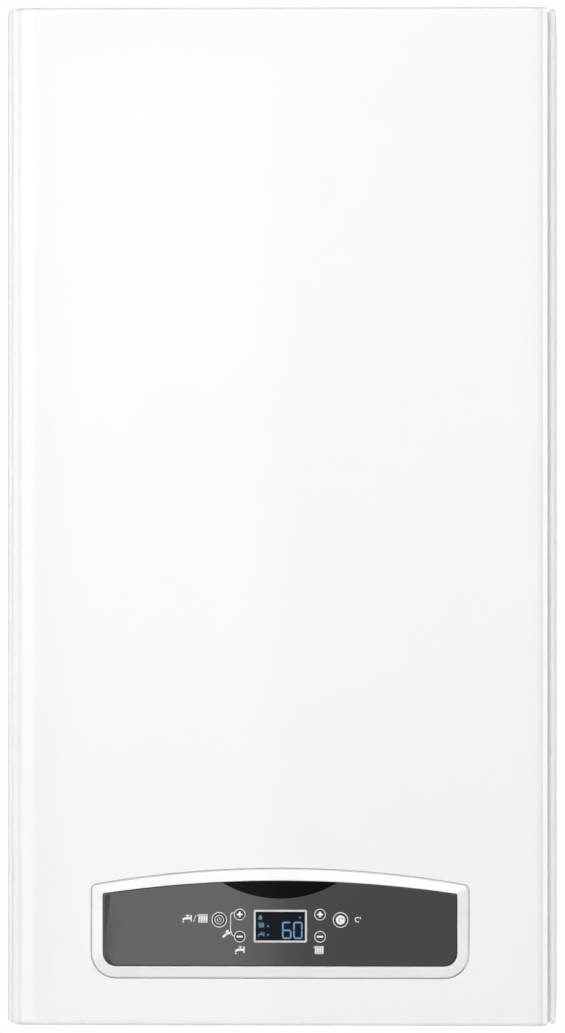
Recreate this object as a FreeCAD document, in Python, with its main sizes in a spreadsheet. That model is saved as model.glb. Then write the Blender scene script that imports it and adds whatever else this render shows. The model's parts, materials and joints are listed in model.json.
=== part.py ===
"""Wall-hung combi boiler: casing, sealed chamber, hydraulics and folding control box.

Frame: X to the right, -Y out of the wall towards the user, +Z up. The origin is on the wall,
on the centre line, level with the lower edge of the casing. Lengths are in millimetres.
"""

import FreeCAD, Part
import math
import os

import Sketcher
from FreeCAD import Placement, Rotation, Vector

SIZES = {
    # casing
    "case_width": 400,
    "case_height": 740,
    "case_depth": 315,
    "sheet": 1,
    "frame_sheet": 1.5,
    "shadow_gap": 1.5,
    "hem_width": 4,
    "hem_setback": 25,
    "hem_radius": 2.2,
    "casing_corner": 3,
    "side_flange": 11,
    "cover_rim": 48,
    "edge_sweep": 60,
    "edge_turn": 20,
    "edge_nose": 6,
    # frame
    "service_depth": 250,
    "rail_front": 262,
    "frame_inset": 3,
    "frame_flange": 15,
    "hanging_hole": 5,
    "hanging_spacing": 300,
    "hanging_height": 700,
    "top_plate_height": 723.5,
    "floor_height": 45,
    "floor_flange": 15,
    "rail_height": 26,
    "pin_radius": 4,
    "pin_spacing": 300,
    "pin_height": 705,
    "pin_length": 22,
    "pin_play": 0.4,
    "bracket_width": 24,
    "bracket_foot": 22,
    "screw_spacing": 360,
    "screw_setback": 280,
    "screw_radius": 2,
    "screw_head": 4.5,
    "screw_head_height": 3,
    "screw_tab_height": 8,
    "screw_tab_width": 16,
    "screw_play": 0.6,
    "lower_rail_height": 12,
    "lower_rail_depth": 36,
    # flue and air
    "flue_radius": 30,
    "flue_gauge": 1.2,
    "flue_axis": 165,
    "flue_flange": 72,
    "air_radius": 50,
    "air_gauge": 2,
    "air_collar_height": 12,
    "air_flange": 130,
    # sealed chamber
    "chamber_width": 356,
    "chamber_floor": 318,
    "chamber_back": 98,
    "chamber_sheet": 1.2,
    "chamber_lip": 10,
    "panel_top": 694,
    "riser_inset": 25,
    "grommet": 0.5,
    "chamber_panel": 3,
    "panel_dish": 6,
    "panel_border": 30,
    "sight_glass_radius": 14,
    "sight_glass_height": 415,
    # burner
    "burner_width": 244,
    "burner_depth": 126,
    "burner_back": 112,
    "burner_bottom": 330,
    "exchanger_bottom": 480,
    "exchanger_height": 40,
    "lining": 12,
    "lining_bottom": 392,
    "bar_count": 13,
    "bar_pitch": 18,
    "bar_width": 12,
    "bar_height": 43,
    "bar_bottom": 335,
    "bar_rail": 2,
    "rail_setback": 6,
    "bar_front": 222,
    "mouth_height": 14,
    "nozzle_radius": 3.5,
    "nozzle_length": 5,
    "manifold_size": 14,
    "manifold_back": 228,
    "gas_riser": 235,
    "electrode_radius": 3.5,
    "electrode_tip": 1,
    "electrode_height": 398,
    "electrode_spacing": 16,
    "probe_offset": 60,
    "bore_play": 0.1,
    # heat exchanger
    "fin_pitch": 7,
    "fin_gap": 4.6,
    "fin_count": 32,
    "fin_depth": 13,
    "tube_count": 5,
    "tube_pitch": 23,
    "tube_radius": 8,
    "tube_stub": 14,
    "bridge_depth": 12,
    "bridge_height": 19,
    # smoke hood and fan
    "hood_skirt": 28,
    "hood_slope": 27,
    "hood_throat": 142,
    "hood_top": 690,
    "hood_margin": 14,
    "fan_centre_height": 640,
    "fan_centre_offset": 43,
    "fan_depth": 46,
    "scroll_radius": 60,
    "scroll_step": 5,
    "scroll_turn": 45,
    "fan_wall": 1.5,
    "fan_top": 698,
    "fan_flange": 3,
    "fan_inlet": 26,
    "impeller_radius": 36,
    "blade_root": 27,
    "blade_tip": 34.5,
    "blade_lean": 6.3,
    "blade_count": 18,
    "blade_gauge": 1,
    "blade_bend": 9,
    "impeller_gap": 6,
    "impeller_plate": 1.2,
    "shaft_radius": 2.5,
    "shaft_play": 0.05,
    "shaft_length": 24,
    "fan_motor_radius": 33,
    "fan_motor_length": 40,
    "fan_motor_step": 4,
    "fan_motor_cap": 11,
    "switch_radius": 29,
    "switch_depth": 26,
    "switch_step": 7,
    "spigot_spacing": 20,
    "switch_offset": 125,
    "switch_height": 650,
    "spigot_radius": 3,
    "spigot_length": 14,
    # expansion vessel
    "vessel_width": 250,
    "vessel_height": 330,
    "vessel_bottom": 350,
    "vessel_depth": 88,
    "vessel_corner": 30,
    "vessel_bevel": 14,
    "vessel_rim": 5,
    "vessel_wall": 1.5,
    "vessel_nut": 9,
    "vessel_port": 97,
    # hydraulics
    "tail_row": 129,
    "tail_pitch": 65,
    "large_tail": 13.2,
    "small_tail": 10.5,
    "large_bore": 9.5,
    "small_bore": 7.5,
    "tail_bottom": 2,
    "tail_play": 3,
    "nut_height": 12,
    "nut_extra": 5,
    "block_height": 95,
    "block_radius": 17,
    "port_inset": 20,
    "port_rise": 48,
    "port_radius": 11,
    "boss_length": 3,
    "plate_length": 190,
    "plate_width": 74,
    "plate_back": 41,
    "plate_stack": 56,
    "plate_count": 10,
    "plate_bottom": 82,
    "plate_corner": 12,
    "plate_groove": 2,
    "pump_height": 176,
    "volute_radius": 44,
    "volute_depth": 36,
    "volute_step": 6,
    "pump_motor_radius": 40,
    "pump_motor_length": 78,
    "pump_cap_radius": 15,
    "pump_cap_length": 6,
    "pump_box_width": 46,
    "pump_box_height": 34,
    "pump_box_setback": 18,
    "vent_radius": 18,
    "vent_height": 46,
    "vent_cap": 5,
    "vent_offset": 36,
    "diverter_width": 44,
    "diverter_height": 62,
    "diverter_depth": 48,
    "relief_radius": 14,
    "relief_length": 26,
    "spout_radius": 6,
    "spout_drop": 14,
    "spout_reach": 26,
    "spout_step": 2,
    "knob_radius": 15,
    "knob_length": 20,
    "knob_lobes": 8,
    "knob_gap": 0.3,
    "knob_stem": 8.6,
    "stem_radius": 4,
    "sensor_radius": 9,
    "sensor_length": 30,
    "sensor_nut": 7.5,
    "sensor_body": 7.2,
    "sensor_offset": 92,
    "tap_radius": 8,
    "flow_sensor_radius": 15,
    "fill_offset": 98,
    "fill_setback": 160,
    "pipe_radius": 9,
    "gas_pipe_radius": 8,
    "vessel_pipe_radius": 5,
    "pipe_bend": 16,
    # gas valve
    "gas_width": 64,
    "gas_depth": 70,
    "gas_bottom": 92,
    "gas_height": 88,
    "gas_back": 99,
    "gas_outlet_height": 160,
    "coil_radius": 15,
    "coil_length": 34,
    # control box
    "box_width": 316,
    "box_bottom": 20,
    "box_top": 200,
    "box_front": 305,
    "box_back": 258,
    "box_wall": 2.5,
    "box_lid": 3,
    "box_corner": 8,
    "box_vent_count": 12,
    "box_vent_pitch": 16,
    "box_vent_width": 6,
    "box_vent_margin": 9,
    "lid_step_inset": 3.75,
    "loom_slot_length": 120,
    "loom_slot_width": 24,
    "loom_slot_height": 68,
    "box_post": 4,
    "board_setback": 272,
    "board_gauge": 1.6,
    "board_width": 270,
    "board_bottom": 32,
    "board_top": 186,
    "part_margin": 16,
    "transformer": 40,
    "transformer_height": 20,
    "relay_width": 16,
    "relay_length": 24,
    "relay_height": 13,
    "relay_pitch": 24,
    "relay_count": 5,
    "plug_width": 19,
    "plug_length": 10,
    "plug_height": 10,
    "plug_pitch": 25.6,
    "plug_count": 9,
    "hinge_height": 14,
    "hinge_setback": 298,
    "hinge_pin": 3,
    "hinge_play": 0.06,
    "hinge_lug": 8,
    "lug_width": 9,
    "ear_gap": 2,
    "gland_radius": 9,
    "gland_offset": 165,
    "gland_length": 26,
    # control panel
    "surround_width": 273.6,
    "surround_bottom": 34.9,
    "surround_top": 113.7,
    "surround_arc": 774,
    "surround_corner": 17.5,
    "surround_shoulder": 3.5,
    "surround_proud": 1,
    "surround_bevel": 1,
    "surround_margin": 7,
    "panel_gap": 0.8,
    "fascia_width": 257.4,
    "fascia_bottom": 43.3,
    "fascia_top": 105.2,
    "fascia_arc": 883,
    "fascia_corner": 9.5,
    "fascia_shoulder": 1,
    "fascia_proud": 2,
    "fascia_wall": 2.2,
    "fascia_gap": 0.15,
    "lens_width": 84,
    "lens_drop": 12.7,
    "lens_proud": 0.8,
    "window_width": 39.4,
    "window_height": 24,
    "window_centre": 72.4,
    "window_corner": 1.5,
    "window_border": 1.5,
    "window_recess": 0.5,
    "window_depth": 8,
    "key_radius": 4.2,
    "key_column": 29.2,
    "key_upper": 80.9,
    "key_lower": 64.8,
    "main_key_radius": 5.6,
    "main_key_column": 44.1,
    "main_key_height": 77,
    "key_proud": 0.6,
    "key_play": 0.15,
    "key_depth": 9,
    "key_flange": 1.2,
    "key_gap": 0.3,
}

doc = FreeCAD.newDocument("combi_boiler")
sub_parts = []


class Size:
    """A dimension that keeps its number together with the sheet expression behind it."""

    def __init__(self, number, text):
        self.number = float(number)
        self.text = text

    def __add__(self, other):
        other = size(other)
        return Size(self.number + other.number, f"({self.text} + {other.text})")

    def __sub__(self, other):
        other = size(other)
        return Size(self.number - other.number, f"({self.text} - {other.text})")

    def __mul__(self, other):
        other = size(other)
        return Size(self.number * other.number, f"({self.text} * {other.text})")

    def __truediv__(self, other):
        other = size(other)
        return Size(self.number / other.number, f"({self.text} / {other.text})")

    def __neg__(self):
        return Size(-self.number, f"(0 - {self.text})")

    def __radd__(self, other):
        return size(other) + self

    def __rsub__(self, other):
        return size(other) - self

    def __rmul__(self, other):
        return size(other) * self

    def root(self):
        """The square root of this size."""
        return Size(math.sqrt(self.number), f"sqrt({self.text})")

    def sine(self):
        """The sine of this size, taken in degrees."""
        return Size(math.sin(math.radians(self.number)), f"sin({self.text} * 1deg)")

    def cosine(self):
        """The cosine of this size, taken in degrees."""
        return Size(math.cos(math.radians(self.number)), f"cos({self.text} * 1deg)")


def size(value):
    """A Size, from a Size or a plain number."""
    return value if isinstance(value, Size) else Size(value, repr(float(value)))


class Sheet:
    """The spreadsheet of driving dimensions; each is read as an attribute."""

    def __init__(self, rows):
        self.rows = rows
        cells = doc.addObject("Spreadsheet::Sheet", "Sizes")
        for row, (alias, value) in enumerate(rows.items(), start=1):
            cells.set(f"A{row}", alias)
            cells.set(f"B{row}", str(value))
            cells.setAlias(f"B{row}", alias)

    def __getattr__(self, alias):
        return Size(self.rows[alias], f"Sizes.{alias}")


sheet = Sheet(SIZES)
doc.recompute()


def bind(item, prop, value):
    """Drive one property of an object by a sheet expression."""
    item.setExpression(prop, size(value).text)


# Outlines, drawn into a sketch -------------------------------------------------------------


def pin_point(sketch, edge, end, point):
    """Bind one end of an edge to its two coordinates."""
    for kind, value in zip(("DistanceX", "DistanceY"), point):
        index = sketch.addConstraint(Sketcher.Constraint(kind, -1, 1, edge, end, value.number))
        sketch.setExpression(f"Constraints[{index}]", value.text)


def bind_radius(sketch, edge, radius):
    """Bind the radius of an arc or a circle."""
    index = sketch.addConstraint(Sketcher.Constraint("Radius", edge, radius.number))
    sketch.setExpression(f"Constraints[{index}]", radius.text)


def arc_edge(start, end, radius):
    """A minor arc; a positive radius bends to the left of the way from start to end."""
    chord = end - start
    reach = math.sqrt(max(radius**2 - (chord.Length / 2) ** 2, 0))
    side = Vector(-chord.y, chord.x, 0).normalize() * math.copysign(reach, radius)
    centre = (start + end) / 2 + side
    first, last = (start, end) if radius > 0 else (end, start)
    angles = [math.atan2(p.y - centre.y, p.x - centre.x) for p in (first, last)]
    return Part.ArcOfCircle(Part.Circle(centre, Vector(0, 0, 1), abs(radius)), *angles)


def path(*stations):
    """A closed outline. A station is (u, v), or (u, v, radius) where an arc leads on from it."""
    spots = [(size(s[0]), size(s[1])) for s in stations]
    radii = [size(s[2]) if len(s) > 2 else None for s in stations]

    def draw(sketch):
        points = [Vector(u.number, v.number, 0) for u, v in spots]
        edges = []
        for index, radius in enumerate(radii):
            start, end = points[index], points[(index + 1) % len(points)]
            if radius is None:
                edge = sketch.addGeometry(Part.LineSegment(start, end), False)
                ends = (1, 2)
            else:
                edge = sketch.addGeometry(arc_edge(start, end, radius.number), False)
                ends = (1, 2) if radius.number > 0 else (2, 1)
            edges.append((edge, ends))
        for index, (edge, ends) in enumerate(edges):
            follower, follower_ends = edges[(index + 1) % len(edges)]
            sketch.addConstraint(
                Sketcher.Constraint("Coincident", edge, ends[1], follower, follower_ends[0])
            )
            pin_point(sketch, edge, ends[0], spots[index])
            if radii[index] is not None:
                absolute = radii[index] if radii[index].number > 0 else -radii[index]
                bind_radius(sketch, edge, absolute)

    return draw


def circle(u, v, radius):
    """A full circle."""
    u, v, radius = size(u), size(v), size(radius)

    def draw(sketch):
        ring = Part.Circle(Vector(u.number, v.number, 0), Vector(0, 0, 1), radius.number)
        edge = sketch.addGeometry(ring, False)
        pin_point(sketch, edge, 3, (u, v))
        bind_radius(sketch, edge, radius)

    return draw


def rectangle(u, v):
    """A rectangle between two limits each way."""
    return path((u[0], v[0]), (u[1], v[0]), (u[1], v[1]), (u[0], v[1]))


def rounded(u, v, radius):
    """A rectangle with its four corners rounded."""
    left, right, low, high = (size(value) for value in (*u, *v))
    return path(
        (left + radius, low),
        (right - radius, low, radius),
        (right, low + radius),
        (right, high - radius, radius),
        (right - radius, high),
        (left + radius, high, radius),
        (left, high - radius),
        (left, low + radius, radius),
    )


def tongue(u, root, tip, radius):
    """An upright tongue from its root to the centre of its round tip."""
    down = tip.number < size(root).number
    end, bend = (tip - radius, radius) if down else (tip + radius, -radius)
    left, right = u - radius, u + radius
    return path((left, root), (left, tip, bend), (u, end, bend), (right, tip), (right, root))


def hexagon(u, v, radius):
    """A nut's outline, with its corners at a radius."""
    turns = [math.radians(60 * corner) for corner in range(6)]
    return path(*((u + radius * math.cos(turn), v + radius * math.sin(turn)) for turn in turns))


def arched(width, low, crown, arc, corner, shoulder):
    """A panel with a gently arched upper edge and rounded corners."""
    half = width / 2
    inset = half - shoulder
    rise = crown - arc + (arc * arc - inset * inset).root()
    return path(
        (corner - half, low),
        (half - corner, low, corner),
        (half, low + corner),
        (half, rise - shoulder, shoulder),
        (inset, rise, arc),
        (-inset, rise, shoulder),
        (-half, rise - shoulder),
        (-half, low + corner, corner),
    )


# Sub-parts ---------------------------------------------------------------------------------


def both(half):
    """The two limits at equal distances to the left and the right."""
    return (-half, half)


def across(middle, width):
    """The two limits of a width about its middle."""
    return (middle - width / 2, middle + width / 2)


NORMALS = {"XY": 1, "XZ": -1, "YZ": 1}


class Piece:
    """A sub-part made as a body, feature after feature."""

    def __init__(self, label):
        self.body = doc.addObject("PartDesign::Body", label)
        self.body.Label = label
        sub_parts.append(self.body)

    def feature(self, kind, name):
        """Add one feature to the body."""
        return self.body.newObject(f"PartDesign::{kind}", f"{self.body.Name}_{name}")

    def datum(self, role):
        """A plane or an axis of the body's own origin."""
        return next(f for f in self.body.Origin.OriginFeatures if f.Role == role)

    def sketch(self, name, plane, at, outlines, origin):
        """A sketch on an origin plane moved to its place, holding the outlines."""
        item = self.body.newObject("Sketcher::SketchObject", f"{self.body.Name}_{name}_sketch")
        item.AttachmentSupport = (self.datum(f"{plane}_Plane"), [""])
        item.MapMode = "FlatFace"
        bind(item, "AttachmentOffset.Base.x", origin[0])
        bind(item, "AttachmentOffset.Base.y", origin[1])
        bind(item, "AttachmentOffset.Base.z", size(at) * NORMALS[plane])
        for outline in outlines:
            outline(item)
        return item

    def extrude(self, kind, name, plane, span, outlines, origin):
        """A pad or a pocket of the outlines, from the first limit of the span to the second."""
        start, end = size(span[0]), size(span[1])
        item = self.feature(kind, name)
        item.Profile = self.sketch(name, plane, start, outlines, origin)
        along_normal = (end.number > start.number) == (NORMALS[plane] > 0)
        item.Reversed = along_normal == (kind == "Pocket")
        bind(item, "Length", end - start if end.number > start.number else start - end)
        return item

    def pad(self, name, plane, span, *outlines, origin=(0, 0)):
        """Add the outlines as material over the span."""
        return self.extrude("Pad", name, plane, span, outlines, origin)

    def pocket(self, name, plane, span, *outlines, origin=(0, 0)):
        """Cut the outlines away over the span."""
        return self.extrude("Pocket", name, plane, span, outlines, origin)

    def turn(self, name, plane, at, axis_place, axis, *outlines):
        """Revolve the outlines about the sketch's H or V axis, which passes through a place."""
        item = self.feature("Revolution", name)
        profile = self.sketch(name, plane, at, outlines, axis_place)
        item.Profile = profile
        item.ReferenceAxis = (profile, [f"{axis}_Axis"])
        item.Angle = 360
        return item

    def taper(self, name, plane, span, wide, narrow):
        """Cut a space that narrows from one outline to another over the span."""
        item = self.feature("SubtractiveLoft", name)
        item.Profile = self.sketch(f"{name}_wide", plane, span[0], [wide], (0, 0))
        item.Sections = [self.sketch(f"{name}_narrow", plane, span[1], [narrow], (0, 0))]
        item.Ruled = True
        return item

    def row(self, feature, role, pitch, count):
        """Repeat a feature along an axis."""
        item = self.feature("LinearPattern", f"{feature.Name}_row")
        item.Originals = [feature]
        item.Direction = (self.datum(f"{role}_Axis"), [""])
        bind(item, "Length", pitch * (count - 1))
        bind(item, "Occurrences", count)
        self.body.Tip = item
        return item

    def ring(self, feature, count):
        """Repeat a feature about the normal of its own sketch."""
        item = self.feature("PolarPattern", f"{feature.Name}_ring")
        item.Originals = [feature]
        item.Axis = (feature.Profile[0], ["N_Axis"])
        item.Angle = 360
        bind(item, "Occurrences", count)
        self.body.Tip = item
        return item

    def dress(self, kind, name, prop, value, chosen):
        """Put a fillet or a chamfer on the edges that the test chooses."""
        doc.recompute()
        base = self.body.Tip
        names = [
            f"Edge{index}"
            for index, edge in enumerate(base.Shape.Edges, start=1)
            if chosen(edge.CenterOfMass, edge)
        ]
        item = self.feature(kind, name)
        item.Base = (base, names)
        bind(item, prop, value)
        return item

    def fillet(self, name, radius, chosen):
        """Round the chosen edges."""
        return self.dress("Fillet", name, "Radius", radius, chosen)

    def chamfer(self, name, width, chosen):
        """Bevel the chosen edges."""
        return self.dress("Chamfer", name, "Size", width, chosen)

    def shell(self, name, wall, opened):
        """Hollow the body to a wall, open at the faces that the test chooses."""
        doc.recompute()
        base = self.body.Tip
        names = [
            f"Face{index}"
            for index, face in enumerate(base.Shape.Faces, start=1)
            if opened(face.CenterOfMass, face)
        ]
        item = self.feature("Thickness", name)
        item.Base = (base, names)
        item.Reversed = True
        bind(item, "Value", wall)
        return item


AXES = {"X": Rotation(Vector(0, 1, 0), 90), "Y": Rotation(Vector(1, 0, 0), -90), "Z": Rotation()}


def place(item, base):
    """Bind the three coordinates of a primitive."""
    for letter, value in zip("xyz", base):
        bind(item, f"Placement.Base.{letter}", value)
    return item


def rod(name, axis, base, length, radius):
    """A cylinder that starts at its base and runs along +X, +Y or +Z."""
    item = doc.addObject("Part::Cylinder", name)
    item.Placement = Placement(Vector(), AXES[axis])
    bind(item, "Radius", radius)
    bind(item, "Height", length)
    return place(item, base)


def joined(name, pieces):
    """One solid out of several."""
    item = doc.addObject("Part::MultiFuse", name)
    item.Shapes = pieces
    item.Refine = True
    return item


def grouped(name, pieces):
    """Separate solids that share a sub-part."""
    item = doc.addObject("Part::Compound", name)
    item.Links = pieces
    return item


def sub_part(item, label):
    """Give an object its own label and list it as a sub-part."""
    item.Label = label
    sub_parts.append(item)
    return item


def pipe(label, radius, bend, points):
    """A solid tube along straight runs joined by tangent arcs, its ends square to the runs."""
    corners = [Vector(*(size(value).number for value in point)) for point in points]
    turn, edges, start = size(bend).number, [], corners[0]
    for before, corner, after in zip(corners, corners[1:], corners[2:]):
        arriving, leaving = (corner - before).normalize(), (after - corner).normalize()
        setback = turn * math.tan(arriving.getAngle(leaving) / 2)
        entry, leave = corner - arriving * setback, corner + leaving * setback
        inward = (leaving - arriving).normalize()
        depth = turn / math.cos(arriving.getAngle(leaving) / 2) - turn
        edges.append(Part.LineSegment(start, entry).toShape())
        edges.append(Part.Arc(entry, corner + inward * depth, leave).toShape())
        start = leave
    edges.append(Part.LineSegment(start, corners[-1]).toShape())
    way = Part.Wire(edges)
    heading = corners[1] - corners[0]
    ring = Part.Wire([Part.makeCircle(size(radius).number, corners[0], heading)])
    item = doc.addObject("Part::Feature", label)
    item.Shape = way.makePipeShell([ring], True, False)
    item.Placement = Placement()
    return sub_part(item, label)


# Casing ------------------------------------------------------------------------------------

case_half = sheet.case_width / 2
panel_inner = case_half - sheet.sheet
cover_half = case_half - sheet.hem_width - sheet.shadow_gap
cover_face = -sheet.case_depth
cover_back = cover_face + sheet.cover_rim
hem_face = cover_face + sheet.hem_setback
rail_front = -sheet.rail_front
service_front = -sheet.service_depth
screw_line = sheet.screw_spacing / 2
pin_line = sheet.pin_spacing / 2
tail_y = -sheet.tail_row


def near(value, place):
    """Whether a coordinate is at a place."""
    return abs(value - size(place).number) < 0.01


def front_cover():
    """The enamelled pan that closes the front, with its window for the control panel."""
    piece = Piece("front_cover")
    sweep, nose = sheet.edge_sweep, sheet.edge_nose
    lean, drop = sheet.edge_turn.sine(), sheet.edge_turn.cosine()
    flat = cover_half - nose - (sweep - nose) * lean
    joint = (flat + sweep * lean, cover_face + sweep - sweep * drop)
    cheek = cover_face + sweep - (sweep - nose) * drop
    plan = path(
        (cover_half, cover_back),
        (cover_half, cheek, -nose),
        (joint[0], joint[1], -sweep),
        (flat, cover_face),
        (-flat, cover_face, -sweep),
        (-joint[0], joint[1], -nose),
        (-cover_half, cheek),
        (-cover_half, cover_back),
    )
    piece.pad("pan", "XY", (0, sheet.case_height), plan)

    def rim_edge(middle, edge):
        at_end = near(middle.z, 0) or near(middle.z, sheet.case_height)
        return at_end and not near(middle.y, cover_back)

    piece.fillet("edge", sheet.casing_corner, rim_edge)
    piece.shell("wall", sheet.sheet, lambda middle, face: near(middle.y, cover_back))
    window = surround_outline(sheet.panel_gap)
    piece.pocket("window", "XZ", (cover_face, cover_face + sheet.sheet * 2), window)
    reach = sheet.screw_tab_width / 2
    notches = [
        rectangle(
            across(side * screw_line, sheet.screw_tab_width - 2),
            (-sheet.screw_setback - reach, cover_back),
        )
        for side in (-1, 1)
    ]
    piece.pocket("driver_notches", "XY", (0, sheet.sheet * 2), *notches)


def cover_brackets():
    """The welded brackets inside the cover: two on the pins above, two slotted tabs below."""
    piece = Piece("cover_brackets")
    gauge = sheet.frame_sheet
    roof = sheet.case_height - sheet.sheet
    plate_back = cover_back - 2
    tab_low = sheet.screw_tab_height
    for side, hand in ((-1, "left"), (1, "right")):
        middle = side * pin_line
        wide = across(middle, sheet.bracket_width)
        foot = rectangle(wide, (plate_back - sheet.bracket_foot, plate_back))
        piece.pad(f"{hand}_foot", "XY", (roof - gauge, roof), foot)
        tip = sheet.pin_height - sheet.bracket_width / 2
        plate = rounded(wide, (tip, roof), sheet.sheet)
        hole = circle(middle, sheet.pin_height, sheet.pin_radius + sheet.pin_play)
        piece.pad(f"{hand}_plate", "XZ", (plate_back, plate_back - gauge), plate, hole)
        wall = side * (cover_half - sheet.sheet)
        inner = side * (screw_line - sheet.screw_tab_width / 2)
        sides = (inner, wall) if side > 0 else (wall, inner)
        reach = sheet.screw_tab_width / 2
        tab = rectangle(sides, (-sheet.screw_setback - reach, cover_back))
        piece.pad(f"{hand}_tab", "XY", (tab_low, tab_low + gauge), tab)
        radius = sheet.screw_radius + sheet.screw_play
        way = tongue(side * screw_line, cover_back + gauge, -sheet.screw_setback, radius)
        piece.pocket(f"{hand}_slot", "XY", (tab_low, tab_low + gauge), way)


def side_panel(label, side):
    """A side panel: a shallow pan whose narrow front hem frames the cover."""
    piece = Piece(label)
    outer = side * case_half
    hem = side * (case_half - sheet.hem_width)
    lip = side * (case_half - sheet.side_flange)
    plan = path(
        (outer, 0),
        (outer, hem_face),
        (hem, hem_face),
        (hem, rail_front),
        (lip, rail_front),
        (lip, 0),
    )
    piece.pad("pan", "XY", (0, sheet.case_height), plan)

    def outer_end(middle, edge):
        at_end = near(middle.z, 0) or near(middle.z, sheet.case_height)
        return at_end and near(middle.x, outer)

    def front_edge(middle, edge):
        return near(middle.x, outer) and near(middle.y, hem_face)

    piece.fillet("corner", sheet.casing_corner, outer_end)
    piece.fillet("hem", sheet.hem_radius, front_edge)

    def open_side(middle, face):
        inward = near(middle.x, lip) or near(middle.x, hem)
        return inward or near(middle.y, 0) or near(middle.y, rail_front)

    piece.shell("wall", sheet.sheet, open_side)


def rear_frame():
    """The galvanised back plate with its folded edges and the holes it hangs on."""
    piece = Piece("rear_frame")
    back = -sheet.frame_sheet
    limits = (sheet.frame_inset, sheet.case_height - sheet.frame_inset)
    holes = [
        circle(side * sheet.hanging_spacing / 2, sheet.hanging_height, sheet.hanging_hole)
        for side in (-1, 1)
    ]
    piece.pad("plate", "XZ", (0, back), rectangle(both(panel_inner), limits), *holes)
    foot = rectangle(both(sheet.hanging_spacing / 2), (0, limits[0]))
    piece.pad("foot", "XZ", (0, back), foot)
    between = (sheet.floor_height + sheet.frame_sheet, sheet.top_plate_height)
    folds = [
        rectangle((panel_inner - sheet.frame_sheet, panel_inner), between),
        rectangle((-panel_inner, sheet.frame_sheet - panel_inner), between),
    ]
    piece.pad("folds", "XZ", (back, back - sheet.frame_flange), *folds)


def top_plate():
    """The recessed plate that closes the top and carries the flue collar."""
    piece = Piece("top_plate")
    low = sheet.top_plate_height
    outline = rectangle(both(panel_inner), (rail_front, -sheet.frame_sheet))
    hole = circle(0, -sheet.flue_axis, sheet.air_radius)
    piece.pad("plate", "XY", (low, low + sheet.frame_sheet), outline, hole)


def top_rail():
    """The cross rail behind the cover's upper edge, with the two pins that locate the cover."""
    piece = Piece("top_rail")
    high = sheet.top_plate_height
    low = high - sheet.rail_height
    gauge = sheet.frame_sheet
    back = rail_front + gauge
    piece.pad("web", "XZ", (back, rail_front), rectangle(both(panel_inner), (low, high)))
    piece.pad(
        "shelf", "XY", (low, low + gauge), rectangle(both(panel_inner), (back, service_front))
    )
    for side, hand in ((-1, "left"), (1, "right")):
        pin = circle(side * pin_line, sheet.pin_height, sheet.pin_radius)
        piece.pad(f"{hand}_pin", "XZ", (rail_front, rail_front - sheet.pin_length), pin)
    tip = size(rail_front - sheet.pin_length)
    piece.chamfer("pin_tips", sheet.frame_sheet, lambda middle, edge: near(middle.y, tip))


def connection_plate():
    """The floor of the casing, with a hole for each pipe tail, the filling knob and the cable."""
    piece = Piece("connection_plate")
    low = sheet.floor_height
    gauge = sheet.frame_sheet
    outline = rectangle(both(panel_inner), (service_front, -gauge))
    holes = [circle(x, tail_y, radius + sheet.tail_play) for x, radius, _ in tails()]
    knob_hole = sheet.stem_radius + sheet.tail_play
    holes.append(circle(sheet.fill_offset, -sheet.fill_setback, knob_hole))
    gland_hole = sheet.gland_radius + sheet.bore_play
    holes.append(circle(-sheet.gland_offset, -sheet.fill_setback, gland_hole))
    holes.append(circle(*spout_place(), sheet.spout_radius + sheet.tail_play))
    piece.pad("plate", "XY", (low, low + gauge), outline, *holes)
    fold = rectangle(both(panel_inner), (low - sheet.floor_flange, low))
    piece.pad("fold", "XZ", (service_front + gauge, service_front), fold)


def lower_rail():
    """The rail under the control box: screw tabs for the cover and ears with the hinge pins."""
    piece = Piece("lower_rail")
    gauge = sheet.frame_sheet
    low = sheet.lower_rail_height
    back = rail_front + sheet.lower_rail_depth
    tab_front = -sheet.screw_setback - sheet.screw_tab_width / 2
    outer_tab = screw_line + sheet.screw_tab_width / 2
    ear = sheet.box_width / 2 + sheet.ear_gap
    outline = path(
        (-panel_inner, back),
        (panel_inner, back),
        (panel_inner, rail_front),
        (outer_tab, rail_front),
        (outer_tab, tab_front),
        (ear, tab_front),
        (ear, rail_front),
        (-ear, rail_front),
        (-ear, tab_front),
        (-outer_tab, tab_front),
        (-outer_tab, rail_front),
        (-panel_inner, rail_front),
    )
    hole = sheet.screw_radius + sheet.shaft_play
    holes = [circle(side * screw_line, -sheet.screw_setback, hole) for side in (-1, 1)]
    piece.pad("shelf", "XY", (low, low + gauge), outline, *holes)
    upright = rectangle(both(panel_inner), (low, low + sheet.lower_rail_depth / 2))
    piece.pad("upright", "XZ", (back, back - gauge), upright)
    lug = sheet.hinge_lug
    pivot = (-sheet.hinge_setback, sheet.hinge_height)
    cheek = path(
        (rail_front, low),
        (rail_front, pivot[1] + lug),
        (pivot[0], pivot[1] + lug, lug),
        (pivot[0] - lug, pivot[1], lug),
        (pivot[0], pivot[1] - lug),
        (tab_front, pivot[1] - lug),
        (tab_front, low),
    )
    for side, hand in ((-1, "left"), (1, "right")):
        face = side * ear
        piece.pad(f"{hand}_ear", "YZ", (face, face + side * gauge), cheek)
        pin = circle(pivot[0], pivot[1], sheet.hinge_pin)
        tip = side * (sheet.box_width / 2 - sheet.lug_width)
        piece.pad(f"{hand}_pin", "YZ", (face, tip), pin)


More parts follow.
